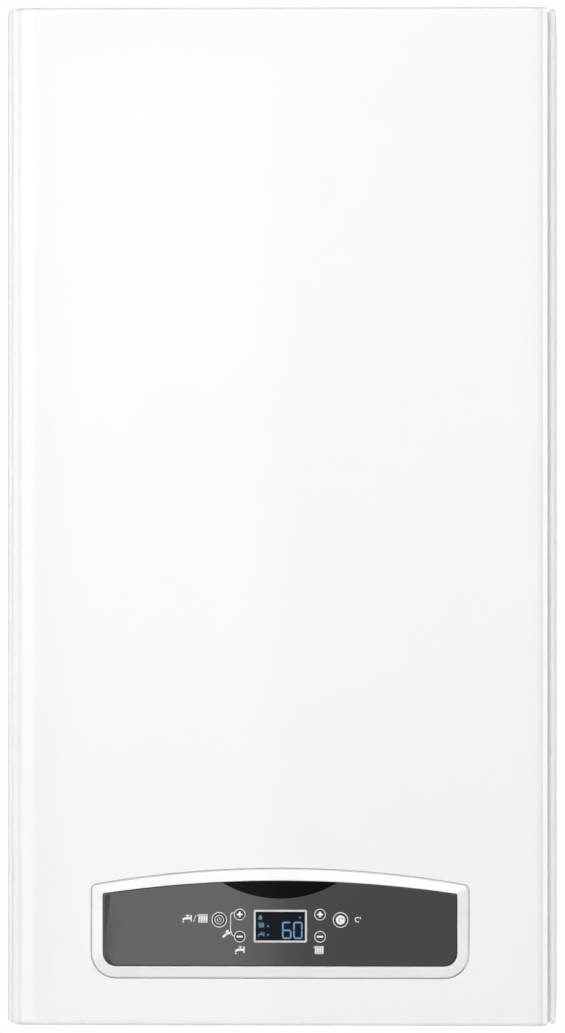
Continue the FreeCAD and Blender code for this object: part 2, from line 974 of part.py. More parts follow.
def cover_screws():
    """The two captive screws that hold the cover's lower tabs up against the rail."""
    screws = []
    for side, hand in ((-1, "left"), (1, "right")):
        x, y = side * screw_line, -sheet.screw_setback
        base = (x, y, sheet.screw_tab_height - sheet.screw_head_height)
        reach = sheet.lower_rail_height + sheet.frame_sheet * 2 - base[2]
        head = rod(f"{hand}_screw_head", "Z", base, sheet.screw_head_height, sheet.screw_head)
        shank = rod(f"{hand}_screw_shank", "Z", base, reach, sheet.screw_radius)
        screws.append(joined(f"{hand}_screw", [head, shank]))
    sub_part(grouped("cover_screws", screws), "cover_screws")


# Control box -------------------------------------------------------------------------------

box_half = sheet.box_width / 2
box_front = -sheet.box_front
box_back = -sheet.box_back
fascia_face = cover_face - sheet.fascia_proud
window_half = sheet.window_height / 2


def control_box_housing():
    """The moulded tray that carries the panel and the board, with its two hinge lugs."""
    piece = Piece("control_box_housing")
    wall = sheet.box_wall
    limits = (sheet.box_bottom, sheet.box_top)
    outer = rounded(both(box_half), limits, sheet.box_corner)
    piece.pad("tray", "XZ", (box_back, box_front), outer)
    hollow = rounded(
        both(box_half - wall), (limits[0] + wall, limits[1] - wall), sheet.box_corner - wall
    )
    piece.pocket("hollow", "XZ", (box_back, box_front + wall), hollow)
    pivot = (-sheet.hinge_setback, sheet.hinge_height)
    lug = sheet.hinge_lug - 1
    ear = tongue(pivot[0], limits[0] + wall, pivot[1], lug)
    for side, hand in ((-1, "left"), (1, "right")):
        bore = circle(pivot[0], pivot[1], sheet.hinge_pin + sheet.hinge_play)
        span = (side * (box_half - sheet.lug_width), side * box_half)
        piece.pad(f"{hand}_lug", "YZ", span, ear, bore)
    post = sheet.box_post
    column = sheet.board_width / 2 - post * 2
    posts = [
        circle(side * column, height, post)
        for side in (-1, 1)
        for height in (sheet.board_bottom + post * 2, sheet.board_top - post * 2)
    ]
    piece.pad("posts", "XZ", (box_front + wall, -sheet.board_setback), *posts)
    opening = rectangle(
        both(sheet.main_key_column + sheet.box_corner),
        (sheet.window_centre - window_half - wall, sheet.key_upper + sheet.box_corner),
    )
    piece.pocket("display_opening", "XZ", (box_front, box_front + wall), opening)
    first = -(sheet.box_vent_count - 1) * sheet.box_vent_pitch / 2
    margin = sheet.box_vent_margin
    vent = rectangle(across(first, sheet.box_vent_width), (box_front + margin, box_back - margin))
    vents = piece.pocket("vent", "XY", (limits[1], limits[1] - wall), vent)
    piece.row(vents, "X", sheet.box_vent_pitch, sheet.box_vent_count)


def control_box_lid():
    """The snap-on rear lid of the control box, stiffened by a raised inner step."""
    piece = Piece("control_box_lid")
    wall = sheet.box_wall
    limits = (sheet.box_bottom, sheet.box_top)
    outer = rounded(both(box_half), limits, sheet.box_corner)
    piece.pad("plate", "XZ", (box_back + sheet.box_lid, box_back), outer)
    inset = sheet.lid_step_inset
    corner = sheet.box_corner - wall
    step = rounded(both(box_half - inset), (limits[0] + inset, limits[1] - inset), corner)
    piece.pad("step", "XZ", (box_back, box_back - wall), step)
    inset = inset + wall
    hollow = rounded(both(box_half - inset), (limits[0] + inset, limits[1] - inset), corner)
    piece.pocket("hollow", "XZ", (box_back - wall, box_back + sheet.box_lid / 2), hollow)
    slot = across(sheet.loom_slot_height, sheet.loom_slot_width)
    mouth = rounded(both(sheet.loom_slot_length / 2), slot, corner)
    piece.pocket("loom_slot", "XZ", (box_back, box_back + sheet.box_lid), mouth)


def main_board():
    """The circuit board with its transformer, relays and row of connectors."""
    piece = Piece("main_board")
    face = -sheet.board_setback
    back = face + sheet.board_gauge
    limits = (sheet.board_bottom, sheet.board_top)
    piece.pad("board", "XZ", (back, face), rectangle(both(sheet.board_width / 2), limits))
    edge = sheet.board_width / 2 - sheet.part_margin
    high = limits[1] - sheet.part_margin
    transformer = rectangle((edge - sheet.transformer, edge), (high - sheet.transformer, high))
    piece.pad("transformer", "XZ", (face, face - sheet.transformer_height), transformer)
    relay = rectangle((-edge, sheet.relay_width - edge), (high - sheet.relay_length, high))
    relays = piece.pad("relay", "XZ", (face, face - sheet.relay_height), relay)
    piece.row(relays, "X", sheet.relay_pitch, sheet.relay_count)
    low = limits[0] + sheet.part_margin / 2
    plug = rectangle((-edge, sheet.plug_width - edge), (low, low + sheet.plug_length))
    plugs = piece.pad("plug", "XZ", (back, back + sheet.plug_height), plug)
    piece.row(plugs, "X", sheet.plug_pitch, sheet.plug_count)


def surround_outline(grow):
    """The outline of the white surround, moved outwards."""
    return arched(
        sheet.surround_width + grow * 2,
        sheet.surround_bottom - grow,
        sheet.surround_top + grow,
        sheet.surround_arc + grow,
        sheet.surround_corner + grow,
        sheet.surround_shoulder + grow,
    )


def fascia_outline(grow):
    """The outline of the dark fascia, moved outwards by a little or inwards."""
    return arched(
        sheet.fascia_width + grow * 2,
        sheet.fascia_bottom - grow,
        sheet.fascia_top + grow,
        sheet.fascia_arc + grow,
        sheet.fascia_corner + grow,
        sheet.fascia_shoulder,
    )


def fascia_frame():
    """The white surround that fills the gap between the cover's window and the fascia."""
    piece = Piece("fascia_frame")
    face = cover_face - sheet.surround_proud
    piece.pad(
        "ring", "XZ", (box_front, face), surround_outline(0), fascia_outline(sheet.fascia_gap)
    )
    margin = sheet.surround_margin
    wide = sheet.surround_width / 2 - margin
    low, high = sheet.surround_bottom + margin, sheet.surround_top - margin

    def outer_front_edge(middle, edge):
        outside = abs(middle.x) > wide.number or not low.number < middle.z < high.number
        return near(middle.y, face) and outside

    piece.chamfer("bevel", sheet.surround_bevel, outer_front_edge)


def key_places():
    """Each button's name, its centre and its radius."""
    column, main = sheet.key_column, sheet.main_key_column
    return (
        ("power_button", -main, sheet.main_key_height, sheet.main_key_radius),
        ("reset_button", main, sheet.main_key_height, sheet.main_key_radius),
        ("hot_water_plus_button", -column, sheet.key_upper, sheet.key_radius),
        ("hot_water_minus_button", -column, sheet.key_lower, sheet.key_radius),
        ("heating_plus_button", column, sheet.key_upper, sheet.key_radius),
        ("heating_minus_button", column, sheet.key_lower, sheet.key_radius),
    )


def window_outline(inset):
    """The outline of the display, moved inwards."""
    return rounded(
        both(sheet.window_width / 2 - inset),
        across(sheet.window_centre, sheet.window_height - size(inset) * 2),
        sheet.window_corner,
    )


def fascia_panel():
    """The dark fascia: a shallow moulded cap with openings for the window and the buttons."""
    piece = Piece("fascia_panel")
    piece.pad("cap", "XZ", (box_front, fascia_face), fascia_outline(0))
    wall = sheet.fascia_wall
    piece.pocket("hollow", "XZ", (box_front, fascia_face + wall), fascia_outline(-wall))
    openings = [circle(x, z, radius + sheet.key_play) for _, x, z, radius in key_places()]
    openings.append(window_outline(sheet.window_border))
    piece.pocket("openings", "XZ", (fascia_face, fascia_face + wall), *openings)


def badge_lens():
    """The bare gloss lens that drops from the crown of the fascia."""
    piece = Piece("badge_lens")
    half = sheet.lens_width / 2
    arc = sheet.fascia_arc
    brow = sheet.fascia_top - arc + (arc * arc - half * half).root()
    sag = sheet.lens_drop - (sheet.fascia_top - brow)
    droop = (half * half + sag * sag) / (sag * 2)
    outline = path((-half, brow, droop), (half, brow, arc))
    piece.pad("lens", "XZ", (fascia_face, fascia_face - sheet.lens_proud), outline)


def display_window():
    """The display: a thin raised bezel on the fascia over a clear block that fills its opening."""
    piece = Piece("display_window")
    border = sheet.window_border
    face = fascia_face - sheet.lens_proud
    piece.pad("bezel", "XZ", (fascia_face, face), window_outline(0))
    pane = window_outline(border + sheet.fascia_gap)
    piece.pad("pane", "XZ", (fascia_face, fascia_face + sheet.window_depth), pane)
    piece.pocket("recess", "XZ", (face, face + sheet.window_recess), window_outline(border))


def buttons():
    """The six buttons, each a round cap with a collar behind the fascia."""
    inner = fascia_face + sheet.fascia_wall + sheet.key_gap
    for label, x, z, radius in key_places():
        piece = Piece(label)
        front = fascia_face - sheet.key_proud
        piece.pad("cap", "XZ", (inner, front), circle(x, z, radius))
        collar = circle(x, z, radius + sheet.key_flange)
        piece.pad("collar", "XZ", (inner + sheet.key_flange, inner), collar)
        stem_back = fascia_face + sheet.key_depth
        piece.pad("stem", "XZ", (stem_back, inner + sheet.key_flange), circle(x, z, radius / 2))


# Sealed chamber ----------------------------------------------------------------------------

chamber_half = sheet.chamber_width / 2
chamber_back = -sheet.chamber_back
hearth_half = sheet.burner_width / 2
hearth_back = -sheet.burner_back
hearth_front = hearth_back - sheet.burner_depth
exchanger_top = sheet.exchanger_bottom + sheet.exchanger_height
tube_height = sheet.exchanger_bottom + sheet.exchanger_height / 2
fan_x = -sheet.fan_centre_offset
fan_back = -sheet.hood_throat
fan_front = fan_back - sheet.fan_depth
riser_x = chamber_half - sheet.riser_inset
floor_top = sheet.floor_height + sheet.frame_sheet


def tube_place(index):
    """How far in front of the wall one of the exchanger's water tubes runs."""
    middle = (hearth_back + hearth_front) / 2
    return middle - (index - (sheet.tube_count - 1) / 2) * sheet.tube_pitch


def combustion_chamber():
    """The sealed sheet-metal chamber; its cheeks run back to the frame around the vessel's bay."""
    piece = Piece("combustion_chamber")
    gauge = sheet.chamber_sheet
    low, high = sheet.chamber_floor, sheet.top_plate_height
    back = -sheet.frame_sheet
    piece.pad("box", "XZ", (back, service_front), rectangle(both(chamber_half), (low, high)))
    hearth = rectangle(both(chamber_half - gauge), (low + gauge, high - gauge))
    piece.pocket("hearth", "XZ", (chamber_back - gauge, service_front + gauge), hearth)
    bay = rectangle(both(chamber_half - gauge), (low - gauge, high + gauge))
    piece.pocket("vessel_bay", "XZ", (back, chamber_back), bay)
    mouth = rectangle(
        both(chamber_half - sheet.chamber_lip),
        (low + sheet.chamber_lip, sheet.panel_top - sheet.chamber_lip),
    )
    piece.pocket("mouth", "XZ", (service_front, service_front + gauge), mouth)
    air_hole = circle(0, -sheet.flue_axis, sheet.air_radius)
    piece.pocket("air_hole", "XY", (high, high - gauge), air_hole)
    pipe_holes = [
        circle(-riser_x, tube_place(0), sheet.pipe_radius + sheet.grommet),
        circle(riser_x, tube_place(sheet.tube_count - 1), sheet.pipe_radius + sheet.grommet),
        circle(0, -sheet.gas_riser, sheet.gas_pipe_radius + sheet.grommet),
    ]
    piece.pocket("pipe_holes", "XY", (low, low + gauge), *pipe_holes)


def chamber_front_panel():
    """The removable front of the chamber, dished to stiffen it, with a hole for the sight glass."""
    piece = Piece("chamber_front_panel")
    gauge = sheet.chamber_sheet
    face = service_front - gauge
    low = sheet.chamber_floor + sheet.frame_inset
    high = sheet.panel_top
    border = sheet.panel_border
    half = chamber_half - sheet.frame_inset
    piece.pad("plate", "XZ", (service_front, face), rectangle(both(half), (low, high)))
    dish_limits = (low + border, high - border)
    dish = rounded(both(half - border), dish_limits, border / 2)
    piece.pad("dish", "XZ", (face, face - sheet.panel_dish), dish)
    crown = face - sheet.panel_dish
    piece.chamfer("dish_edge", sheet.panel_dish - gauge, lambda middle, edge: near(middle.y, crown))
    inset = sheet.panel_dish
    floor_limits = (dish_limits[0] + inset, dish_limits[1] - inset)
    hollow = rounded(both(half - border - inset), floor_limits, border / 2 - inset)
    piece.pocket("dish_back", "XZ", (service_front, crown + gauge), hollow)
    hole = circle(0, sheet.sight_glass_height, sheet.sight_glass_radius - sheet.chamber_panel)
    piece.pocket("sight_hole", "XZ", (crown, service_front), hole)


def sight_glass():
    """The sight glass in its ring, seated over the hole of the chamber panel."""
    piece = Piece("sight_glass")
    crown = service_front - sheet.chamber_sheet - sheet.panel_dish
    rim = sheet.sight_glass_radius
    lip = sheet.chamber_panel
    pane = crown - lip / 2
    outline = path(
        (crown, 0),
        (crown, rim),
        (crown - lip, rim - lip / 2),
        (crown - lip, rim - lip),
        (pane, rim - lip),
        (pane, 0),
    )
    piece.turn("ring", "YZ", 0, (0, sheet.sight_glass_height), "H", outline)


def burner_housing():
    """The open sheet-metal shaft around burner and flame, hung on the chamber's back wall."""
    piece = Piece("burner_housing")
    gauge = sheet.sheet
    span = (sheet.burner_bottom, sheet.exchanger_bottom)
    outer = rectangle(both(hearth_half), (hearth_front, hearth_back))
    inner = rectangle(both(hearth_half - gauge), (hearth_front + gauge, hearth_back - gauge))
    piece.pad("shaft", "XY", span, outer, inner)
    window = rectangle(both(hearth_half - gauge), (span[0] - gauge, sheet.lining_bottom))
    piece.pocket("burner_window", "XZ", (hearth_front, hearth_front + gauge), window)
    reach = (hearth_back, chamber_back - sheet.chamber_sheet)
    cheeks = [
        rectangle((hearth_half - gauge, hearth_half), reach),
        rectangle((-hearth_half, gauge - hearth_half), reach),
    ]
    piece.pad("cheeks", "XY", span, *cheeks)
    piece.pocket("electrode_holes", "XZ", (hearth_front, hearth_front + gauge), *electrode_holes())


def electrode_places():
    """The sideways places of the spark pair and of the flame probe."""
    return (-sheet.electrode_spacing, sheet.electrode_spacing, sheet.probe_offset)


def electrode_holes():
    """Round holes that the electrodes pass through."""
    radius = sheet.electrode_radius + sheet.bore_play
    return [circle(x, sheet.electrode_height, radius) for x in electrode_places()]


def insulation_lining():
    """The ceramic fibre lining of the flame space, as one ring of board."""
    piece = Piece("insulation_lining")
    gauge, board = sheet.sheet, sheet.lining
    half = hearth_half - gauge
    front, back = hearth_front + gauge, hearth_back - gauge
    outer = rectangle(both(half), (front, back))
    inner = rectangle(both(half - board), (front + board, back - board))
    piece.pad("ring", "XY", (sheet.lining_bottom, sheet.exchanger_bottom), outer, inner)
    piece.pocket("electrode_holes", "XZ", (front, front + board), *electrode_holes())


def burner():
    """The row of burner bars with their rounded crowns and inlet mouths, held by two rails."""
    piece = Piece("burner")
    half = sheet.bar_width / 2
    low = sheet.bar_bottom
    spring = low + sheet.bar_height - half
    back, front = hearth_back - sheet.sheet * 2, -sheet.bar_front
    first = -(sheet.bar_count - 1) * sheet.bar_pitch / 2
    section = path(
        (first - half, low),
        (first + half, low),
        (first + half, spring, half),
        (first, spring + half, half),
        (first - half, spring),
    )
    bar = piece.pad("bar", "XZ", (back, front), section)
    piece.row(bar, "X", sheet.bar_pitch, sheet.bar_count)
    bottom = low + sheet.bar_rail * 2
    rail_half = hearth_half - sheet.sheet
    rails = (("back", back - sheet.bar_rail), ("front", front + sheet.rail_setback))
    for name, start in rails:
        rail = rectangle(both(rail_half), (bottom, bottom + sheet.mouth_height))
        piece.pad(f"{name}_rail", "XZ", (start, start - sheet.bar_rail), rail)


def injector_manifold():
    """The square gas tube with one hexagonal nozzle in front of each burner bar."""
    piece = Piece("injector_manifold")
    back = -sheet.manifold_back
    front = back - sheet.manifold_size
    limits = across(sheet.bar_bottom + sheet.mouth_height / 2 + sheet.bar_rail, sheet.manifold_size)
    piece.pad("tube", "XZ", (back, front), rectangle(both(hearth_half - sheet.sheet), limits))
    middle = (limits[0] + limits[1]) / 2
    first = -(sheet.bar_count - 1) * sheet.bar_pitch / 2
    outline = hexagon(first, middle, sheet.nozzle_radius)
    nozzle = piece.pad("nozzle", "XZ", (back, back + sheet.nozzle_length), outline)
    piece.row(nozzle, "X", sheet.bar_pitch, sheet.bar_count)


def electrode(name, x):
    """A ceramic sleeve through the lining with its wire tip over the burner."""
    base = (x, hearth_front - sheet.lining / 2, sheet.electrode_height)
    length = sheet.lining * 2
    sleeve = rod(f"{name}_sleeve", "Y", base, length, sheet.electrode_radius)
    tip = rod(f"{name}_tip", "Y", base, length * 2, sheet.electrode_tip)
    return joined(name, [sleeve, tip])


def electrodes():
    """The pair of spark electrodes and the separate flame probe."""
    left, right, probe = electrode_places()
    pair = [electrode("left_electrode", left), electrode("right_electrode", right)]
    sub_part(grouped("spark_electrodes", pair), "spark_electrodes")
    sub_part(electrode("flame_probe", probe), "flame_probe")


def heat_exchanger():
    """The copper fin block with its water tubes, joined at the ends by pressed bridges."""
    piece = Piece("heat_exchanger")
    low, high = sheet.exchanger_bottom, exchanger_top
    wall = sheet.chamber_sheet
    half = hearth_half - sheet.sheet
    depth = (hearth_front + sheet.sheet, hearth_back - sheet.sheet)
    piece.pad("block", "XY", (low, high), rectangle(both(half), depth))
    first = -(sheet.fin_count - 1) * sheet.fin_pitch / 2
    gap = rectangle(across(first, sheet.fin_gap), (depth[0] + wall, depth[1] - wall))
    upper = piece.pocket("upper_gap", "XY", (high, high - sheet.fin_depth), gap)
    piece.row(upper, "X", sheet.fin_pitch, sheet.fin_count)
    lower = piece.pocket("lower_gap", "XY", (low, low + sheet.fin_depth), gap)
    piece.row(lower, "X", sheet.fin_pitch, sheet.fin_count)
    for side, hand, leftover in ((-1, "left", 0), (1, "right", int(sheet.tube_count.number) - 1)):
        face = side * half
        stub = circle(tube_place(leftover), tube_height, sheet.tube_radius)
        piece.pad(f"{hand}_stub", "YZ", (face, face + side * sheet.tube_stub), stub)
        pairs = (1, 3) if side < 0 else (0, 2)
        bridges = [
            rounded(
                (tube_place(index + 1) - sheet.tube_radius, tube_place(index) + sheet.tube_radius),
                across(tube_height, sheet.bridge_height),
                sheet.tube_radius,
            )
            for index in pairs
        ]
        piece.pad(f"{hand}_bridges", "YZ", (face, face + side * sheet.bridge_depth), *bridges)


def smoke_hood():
    """The hood that gathers the smoke over the exchanger and leads it up behind the fan."""
    piece = Piece("smoke_hood")
    half = hearth_half - sheet.sheet
    back, front = hearth_back - sheet.sheet, hearth_front + sheet.sheet
    low = exchanger_top
    skirt = low + sheet.hood_skirt
    shoulder = skirt + sheet.hood_slope
    profile = path(
        (back, low),
        (front, low),
        (front, skirt),
        (fan_back, shoulder),
        (fan_back, sheet.hood_top),
        (back, sheet.hood_top),
    )
    piece.pad("body", "YZ", both(half), profile)
    cheek = sheet.fan_inlet + sheet.hood_margin
    left, right = fan_x - cheek, fan_x + cheek
    crest = sheet.fan_centre_height - cheek / 2
    above = sheet.hood_top + sheet.sheet
    outside = half + sheet.sheet
    wings = [
        path((-outside, skirt), (left, crest), (left, above), (-outside, above)),
        path((outside, skirt), (outside, above), (right, above), (right, crest)),
    ]
    piece.pocket("wings", "XZ", (back, front), *wings)
    piece.shell("wall", sheet.sheet, lambda middle, face: near(middle.z, low))
    inlet = circle(fan_x, sheet.fan_centre_height, sheet.fan_inlet)
    piece.pocket("inlet", "XZ", (fan_back, fan_back + sheet.sheet), inlet)


def scroll(inset, top):
    """The fan's scroll: quarter arcs of shrinking radius, with the outlet duct leading up."""
    step = sheet.scroll_step
    height = sheet.fan_centre_height
    wide = sheet.scroll_radius
    lips = wide - step * 3 - inset
    reach = (wide - step * 3) * sheet.scroll_turn.cosine() + inset
    tongue_x = fan_x - step + reach
    tongue_z = height + (lips * lips - reach * reach).root()
    return path(
        (fan_x + wide - inset, height, -(wide - inset)),
        (fan_x, height - wide + inset, -(wide - step - inset)),
        (fan_x - wide + step + inset, height - step, -(wide - step * 2 - inset)),
        (fan_x - step, height - step + wide - step * 2 - inset, -lips),
        (tongue_x, tongue_z),
        (tongue_x, top),
        (fan_x + wide - inset, top),
    )


def fan_housing():
    """The die-cast scroll of the fan: inlet behind, motor in front, flanged outlet on top."""
    piece = Piece("fan_housing")
    wall = sheet.fan_wall
    top = sheet.fan_top
    middle = -sheet.flue_axis
    piece.pad("scroll", "XZ", (fan_back, fan_front), scroll(0, top))
    flange = rectangle(both(sheet.flue_flange / 2), across(middle, sheet.flue_flange))
    piece.pad("flange", "XY", (top, top + sheet.fan_flange), flange)
    space = scroll(wall, top + sheet.fan_flange + wall)
    piece.pocket("space", "XZ", (fan_back - wall, fan_front + wall), space)
    inlet = circle(fan_x, sheet.fan_centre_height, sheet.fan_inlet)
    piece.pocket("inlet", "XZ", (fan_back, fan_back - wall), inlet)
    shaft_hole = circle(fan_x, sheet.fan_centre_height, sheet.shaft_radius * 2)
    piece.pocket("shaft_hole", "XZ", (fan_front, fan_front + wall), shaft_hole)


def fan_impeller():
    """The fan wheel: a back plate and a ring joined by curved blades, fast on its shaft."""
    piece = Piece("fan_impeller")
    centre = (fan_x, sheet.fan_centre_height)
    rim = sheet.impeller_radius
    plate_front = fan_front + sheet.impeller_gap
    plate_back = plate_front + sheet.impeller_plate
    ring_back = fan_back - sheet.impeller_gap
    ring_front = ring_back - sheet.impeller_plate
    piece.pad("plate", "XZ", (plate_back, plate_front), circle(0, 0, rim), origin=centre)
    tip, lean = sheet.blade_tip, sheet.blade_lean
    blade = path(
        (sheet.blade_root, 0, sheet.blade_bend),
        (tip, lean),
        (tip, lean + sheet.blade_gauge, -sheet.blade_bend),
        (sheet.blade_root, sheet.blade_gauge),
    )
    blades = piece.pad("blade", "XZ", (ring_back, plate_back), blade, origin=centre)
    piece.ring(blades, sheet.blade_count)
    hoop = circle(0, 0, sheet.blade_root + sheet.blade_gauge * 2)
    piece.pad("hoop", "XZ", (ring_back, ring_front), circle(0, 0, rim), hoop, origin=centre)
    tip_y = plate_front - sheet.shaft_length
    piece.pad("shaft", "XZ", (plate_front, tip_y), circle(0, 0, sheet.shaft_radius), origin=centre)


def fan_motor():
    """The fan motor: a can on the scroll with a bore for the shaft and a rear bearing cap."""
    piece = Piece("fan_motor")
    can = sheet.fan_motor_radius
    end = fan_front - sheet.fan_motor_length
    bore = sheet.shaft_radius + sheet.shaft_play
    bore_end = fan_front + sheet.impeller_gap - sheet.shaft_length - sheet.fan_wall
    step, cap = sheet.fan_motor_step, sheet.fan_motor_cap
    outline = path(
        (fan_front, bore),
        (fan_front, can),
        (end + step, can),
        (end, can - step),
        (end, cap),
        (end - step, cap),
        (end - step, 0),
        (bore_end, 0),
        (bore_end, bore),
    )
    piece.turn("can", "YZ", fan_x, (0, sheet.fan_centre_height), "H", outline)


def air_pressure_switch():
    """The round switch that proves the fan's draught, with its two hose spigots."""
    piece = Piece("air_pressure_switch")
    back = chamber_back - sheet.chamber_sheet
    face = back - sheet.switch_depth
    rim, step = sheet.switch_radius, sheet.switch_step
    outline = path(
        (back, 0),
        (back, rim - step),
        (back - step, rim - step),
        (back - step, rim),
        (face + step, rim),
        (face + step, rim - step),
        (face, rim - step),
        (face, 0),
    )
    x, height = sheet.switch_offset, sheet.switch_height
    piece.turn("disc", "YZ", x, (0, height), "H", outline)
    spigots = [
        circle(x, height + side * sheet.spigot_spacing / 2, sheet.spigot_radius) for side in (-1, 1)
    ]
    piece.pad("spigots", "XZ", (face, face - sheet.spigot_length), *spigots)


def flue_socket():
    """The flue socket on the fan's outlet: a square flange and a round spigot bore."""
    piece = Piece("flue_socket")
    low = sheet.fan_top + sheet.fan_flange
    bore = circle(0, -sheet.flue_axis, sheet.flue_radius)
    flange = rectangle(both(sheet.flue_flange / 2), across(-sheet.flue_axis, sheet.flue_flange))
    piece.pad("flange", "XY", (low, low + sheet.fan_wall), flange, bore)
    ring = circle(0, -sheet.flue_axis, sheet.flue_radius + sheet.flue_gauge)
    high = sheet.top_plate_height - sheet.frame_sheet
    piece.pad("spigot", "XY", (low + sheet.fan_wall, high), ring, bore)


def air_intake_collar():
    """The outer collar of the concentric flue, flanged on the top plate."""
    piece = Piece("air_intake_collar")
    low = sheet.top_plate_height + sheet.frame_sheet
    bore = circle(0, -sheet.flue_axis, sheet.air_radius)
    flange = rounded(
        both(sheet.air_flange / 2), across(-sheet.flue_axis, sheet.air_flange), sheet.lining
    )
    piece.pad("flange", "XY", (low, low + sheet.frame_sheet), flange, bore)
    ring = circle(0, -sheet.flue_axis, sheet.air_radius + sheet.air_gauge)
    piece.pad("collar", "XY", (low + sheet.frame_sheet, low + sheet.air_collar_height), ring, bore)


# Hydraulics --------------------------------------------------------------------------------


def tails():
    """The place, the outer radius and the bore of each pipe tail, from left to right."""
    large = (sheet.large_tail, sheet.large_bore)
    small = (sheet.small_tail, sheet.small_bore)
    sizes = (large, small, large, small, large)
    return [(sheet.tail_pitch * (index - 2), *pair) for index, pair in enumerate(sizes)]


def tail(piece, name, index, top):
    """One pipe tail through the floor, with the nut that seats on it and its open bore."""
    x, radius, bore = tails()[index]
    nut = hexagon(x, tail_y, radius + sheet.nut_extra)
    low = sheet.tail_bottom
    piece.pad(f"{name}_tail", "XY", (low, top), circle(x, tail_y, radius))
    piece.pad(f"{name}_nut", "XY", (floor_top, floor_top + sheet.nut_height), nut)
    piece.pocket(f"{name}_bore", "XY", (low, sheet.floor_height), circle(x, tail_y, bore))


def expansion_vessel():
    """The flat pressed vessel behind the chamber, hollow, with its clenched rim."""
    piece = Piece("expansion_vessel")
    half = sheet.vessel_width / 2
    low = sheet.vessel_bottom
    high = low + sheet.vessel_height
    back = -sheet.frame_sheet
    front = back - sheet.vessel_depth
    wall, bevel = sheet.vessel_wall, sheet.vessel_bevel

    def shape(grow):
        return rounded(both(half + grow), (low - grow, high + grow), sheet.vessel_corner + grow)

    def face_edge(middle, edge):
        return near(middle.y, back) or near(middle.y, front)

    piece.pad("shell", "XZ", (back, front), shape(0))
    piece.chamfer("shoulder", bevel, face_edge)
    seam = (back + front) / 2
    piece.pad("rim", "XZ", (seam + wall, seam - wall), shape(sheet.vessel_rim))
    for name, side, face in (("water", -1, front), ("gas", 1, back)):
        knee = face - side * (bevel + wall)
        crown = face - side * wall
        piece.pocket(f"{name}_space", "XZ", (seam + side * wall, knee), shape(-wall))
        piece.taper(f"{name}_shoulder", "XZ", (knee, crown), shape(-wall), shape(-wall - bevel))
    nut = circle(sheet.vessel_port, seam, sheet.vessel_nut)
    piece.pad("nut", "XY", (low - sheet.nut_height, low - sheet.vessel_rim), nut)
    neck = circle(sheet.vessel_port, seam, sheet.vessel_pipe_radius)
    piece.pad("neck", "XY", (low - sheet.vessel_rim, low), neck)


def plate_heat_exchanger():
    """The brazed plate exchanger: a stack of pressed plates between two cover plates."""
    piece = Piece("plate_heat_exchanger")
    half = sheet.plate_length / 2
    low = sheet.plate_bottom
    limits = (low, low + sheet.plate_width)
    back = -sheet.plate_back
    front = back - sheet.plate_stack
    groove = sheet.plate_groove
    core = rounded(
        both(half - groove), (limits[0] + groove, limits[1] - groove), sheet.plate_corner - groove
    )
    piece.pad("core", "XZ", (back, front), core)
    plate = piece.pad(
        "plate", "XZ", (back, back - groove), rounded(both(half), limits, sheet.plate_corner)
    )
    pitch = (sheet.plate_stack - groove) / (sheet.plate_count - 1)
    rows = piece.row(plate, "Y", pitch, sheet.plate_count)
    rows.Reversed = True


def manifold(label, side, hand_tails):
    """A hydraulic block: a cross body over two tails, with two ports to the plate exchanger."""
    piece = Piece(label)
    height = sheet.block_height
    radius = sheet.block_radius
    outer = side * (riser_x + radius)
    inner = side * (sheet.tail_pitch - radius)
    piece.pad("body", "YZ", (outer, inner), circle(tail_y, height, radius))
    for name, index in hand_tails:
        tail(piece, name, index, height)
    port_back = -sheet.plate_back - sheet.plate_stack
    port_x = side * (sheet.plate_length / 2 - sheet.port_inset)
    upper = height + sheet.port_rise
    ports = [circle(port_x, level, sheet.port_radius) for level in (height, upper)]
    piece.pad("ports", "XZ", (port_back, tail_y), *ports)
    riser = circle(port_x, tail_y, sheet.port_radius)
    piece.pad("riser", "XY", (height, upper + sheet.port_radius), riser)
    return piece


def flow_manifold():
    """The left block: heating flow and hot water tails, diverter seat and sensor boss."""
    piece = manifold("flow_manifold", -1, (("heating_flow", 0), ("hot_water", 1)))
    height, radius = sheet.block_height, sheet.block_radius
    seat = tail_y - radius - sheet.boss_length
    bosses = [
        circle(tails()[0][0], height, sheet.port_radius),
        circle(-sheet.sensor_offset, height, sheet.sensor_radius),
    ]
    piece.pad("bosses", "XZ", (tail_y, seat), *bosses)
    inlet = circle(-riser_x, tail_y, sheet.port_radius)
    piece.pad("inlet", "XY", (height, height + radius + sheet.boss_length), inlet)


def return_manifold():
    """The right block: cold water and heating return tails, relief seat and filling tap."""
    piece = manifold("return_manifold", 1, (("cold_water", 3), ("heating_return", 4)))
    height, radius = sheet.block_height, sheet.block_radius
    x = sheet.fill_offset
    seat = tail_y - radius - sheet.boss_length
    piece.pad("relief_seat", "XZ", (tail_y, seat), circle(x, height, sheet.relief_radius / 2))
    pump_port = circle(tails()[4][0], tail_y, sheet.port_radius)
    piece.pad("pump_port", "XY", (height, height + radius + sheet.boss_length), pump_port)
    tap_y = -sheet.fill_setback
    tap_low = floor_top + sheet.boss_length
    tap = sheet.tap_radius
    arm_height = height - radius - tap
    piece.pad("tap_neck", "XY", (arm_height, height), circle(x, tail_y, tap))
    piece.pad("tap_arm", "XZ", (tail_y, tap_y), circle(x, arm_height, tap - 1))
    piece.pad("tap_body", "XY", (tap_low, arm_height + tap), circle(x, tap_y, tap))
    stem = circle(x, tap_y, sheet.stem_radius + sheet.shaft_play)
    piece.pocket("tap_bore", "XY", (tap_low, arm_height), stem)


LOBE_FULLNESS = 1.3


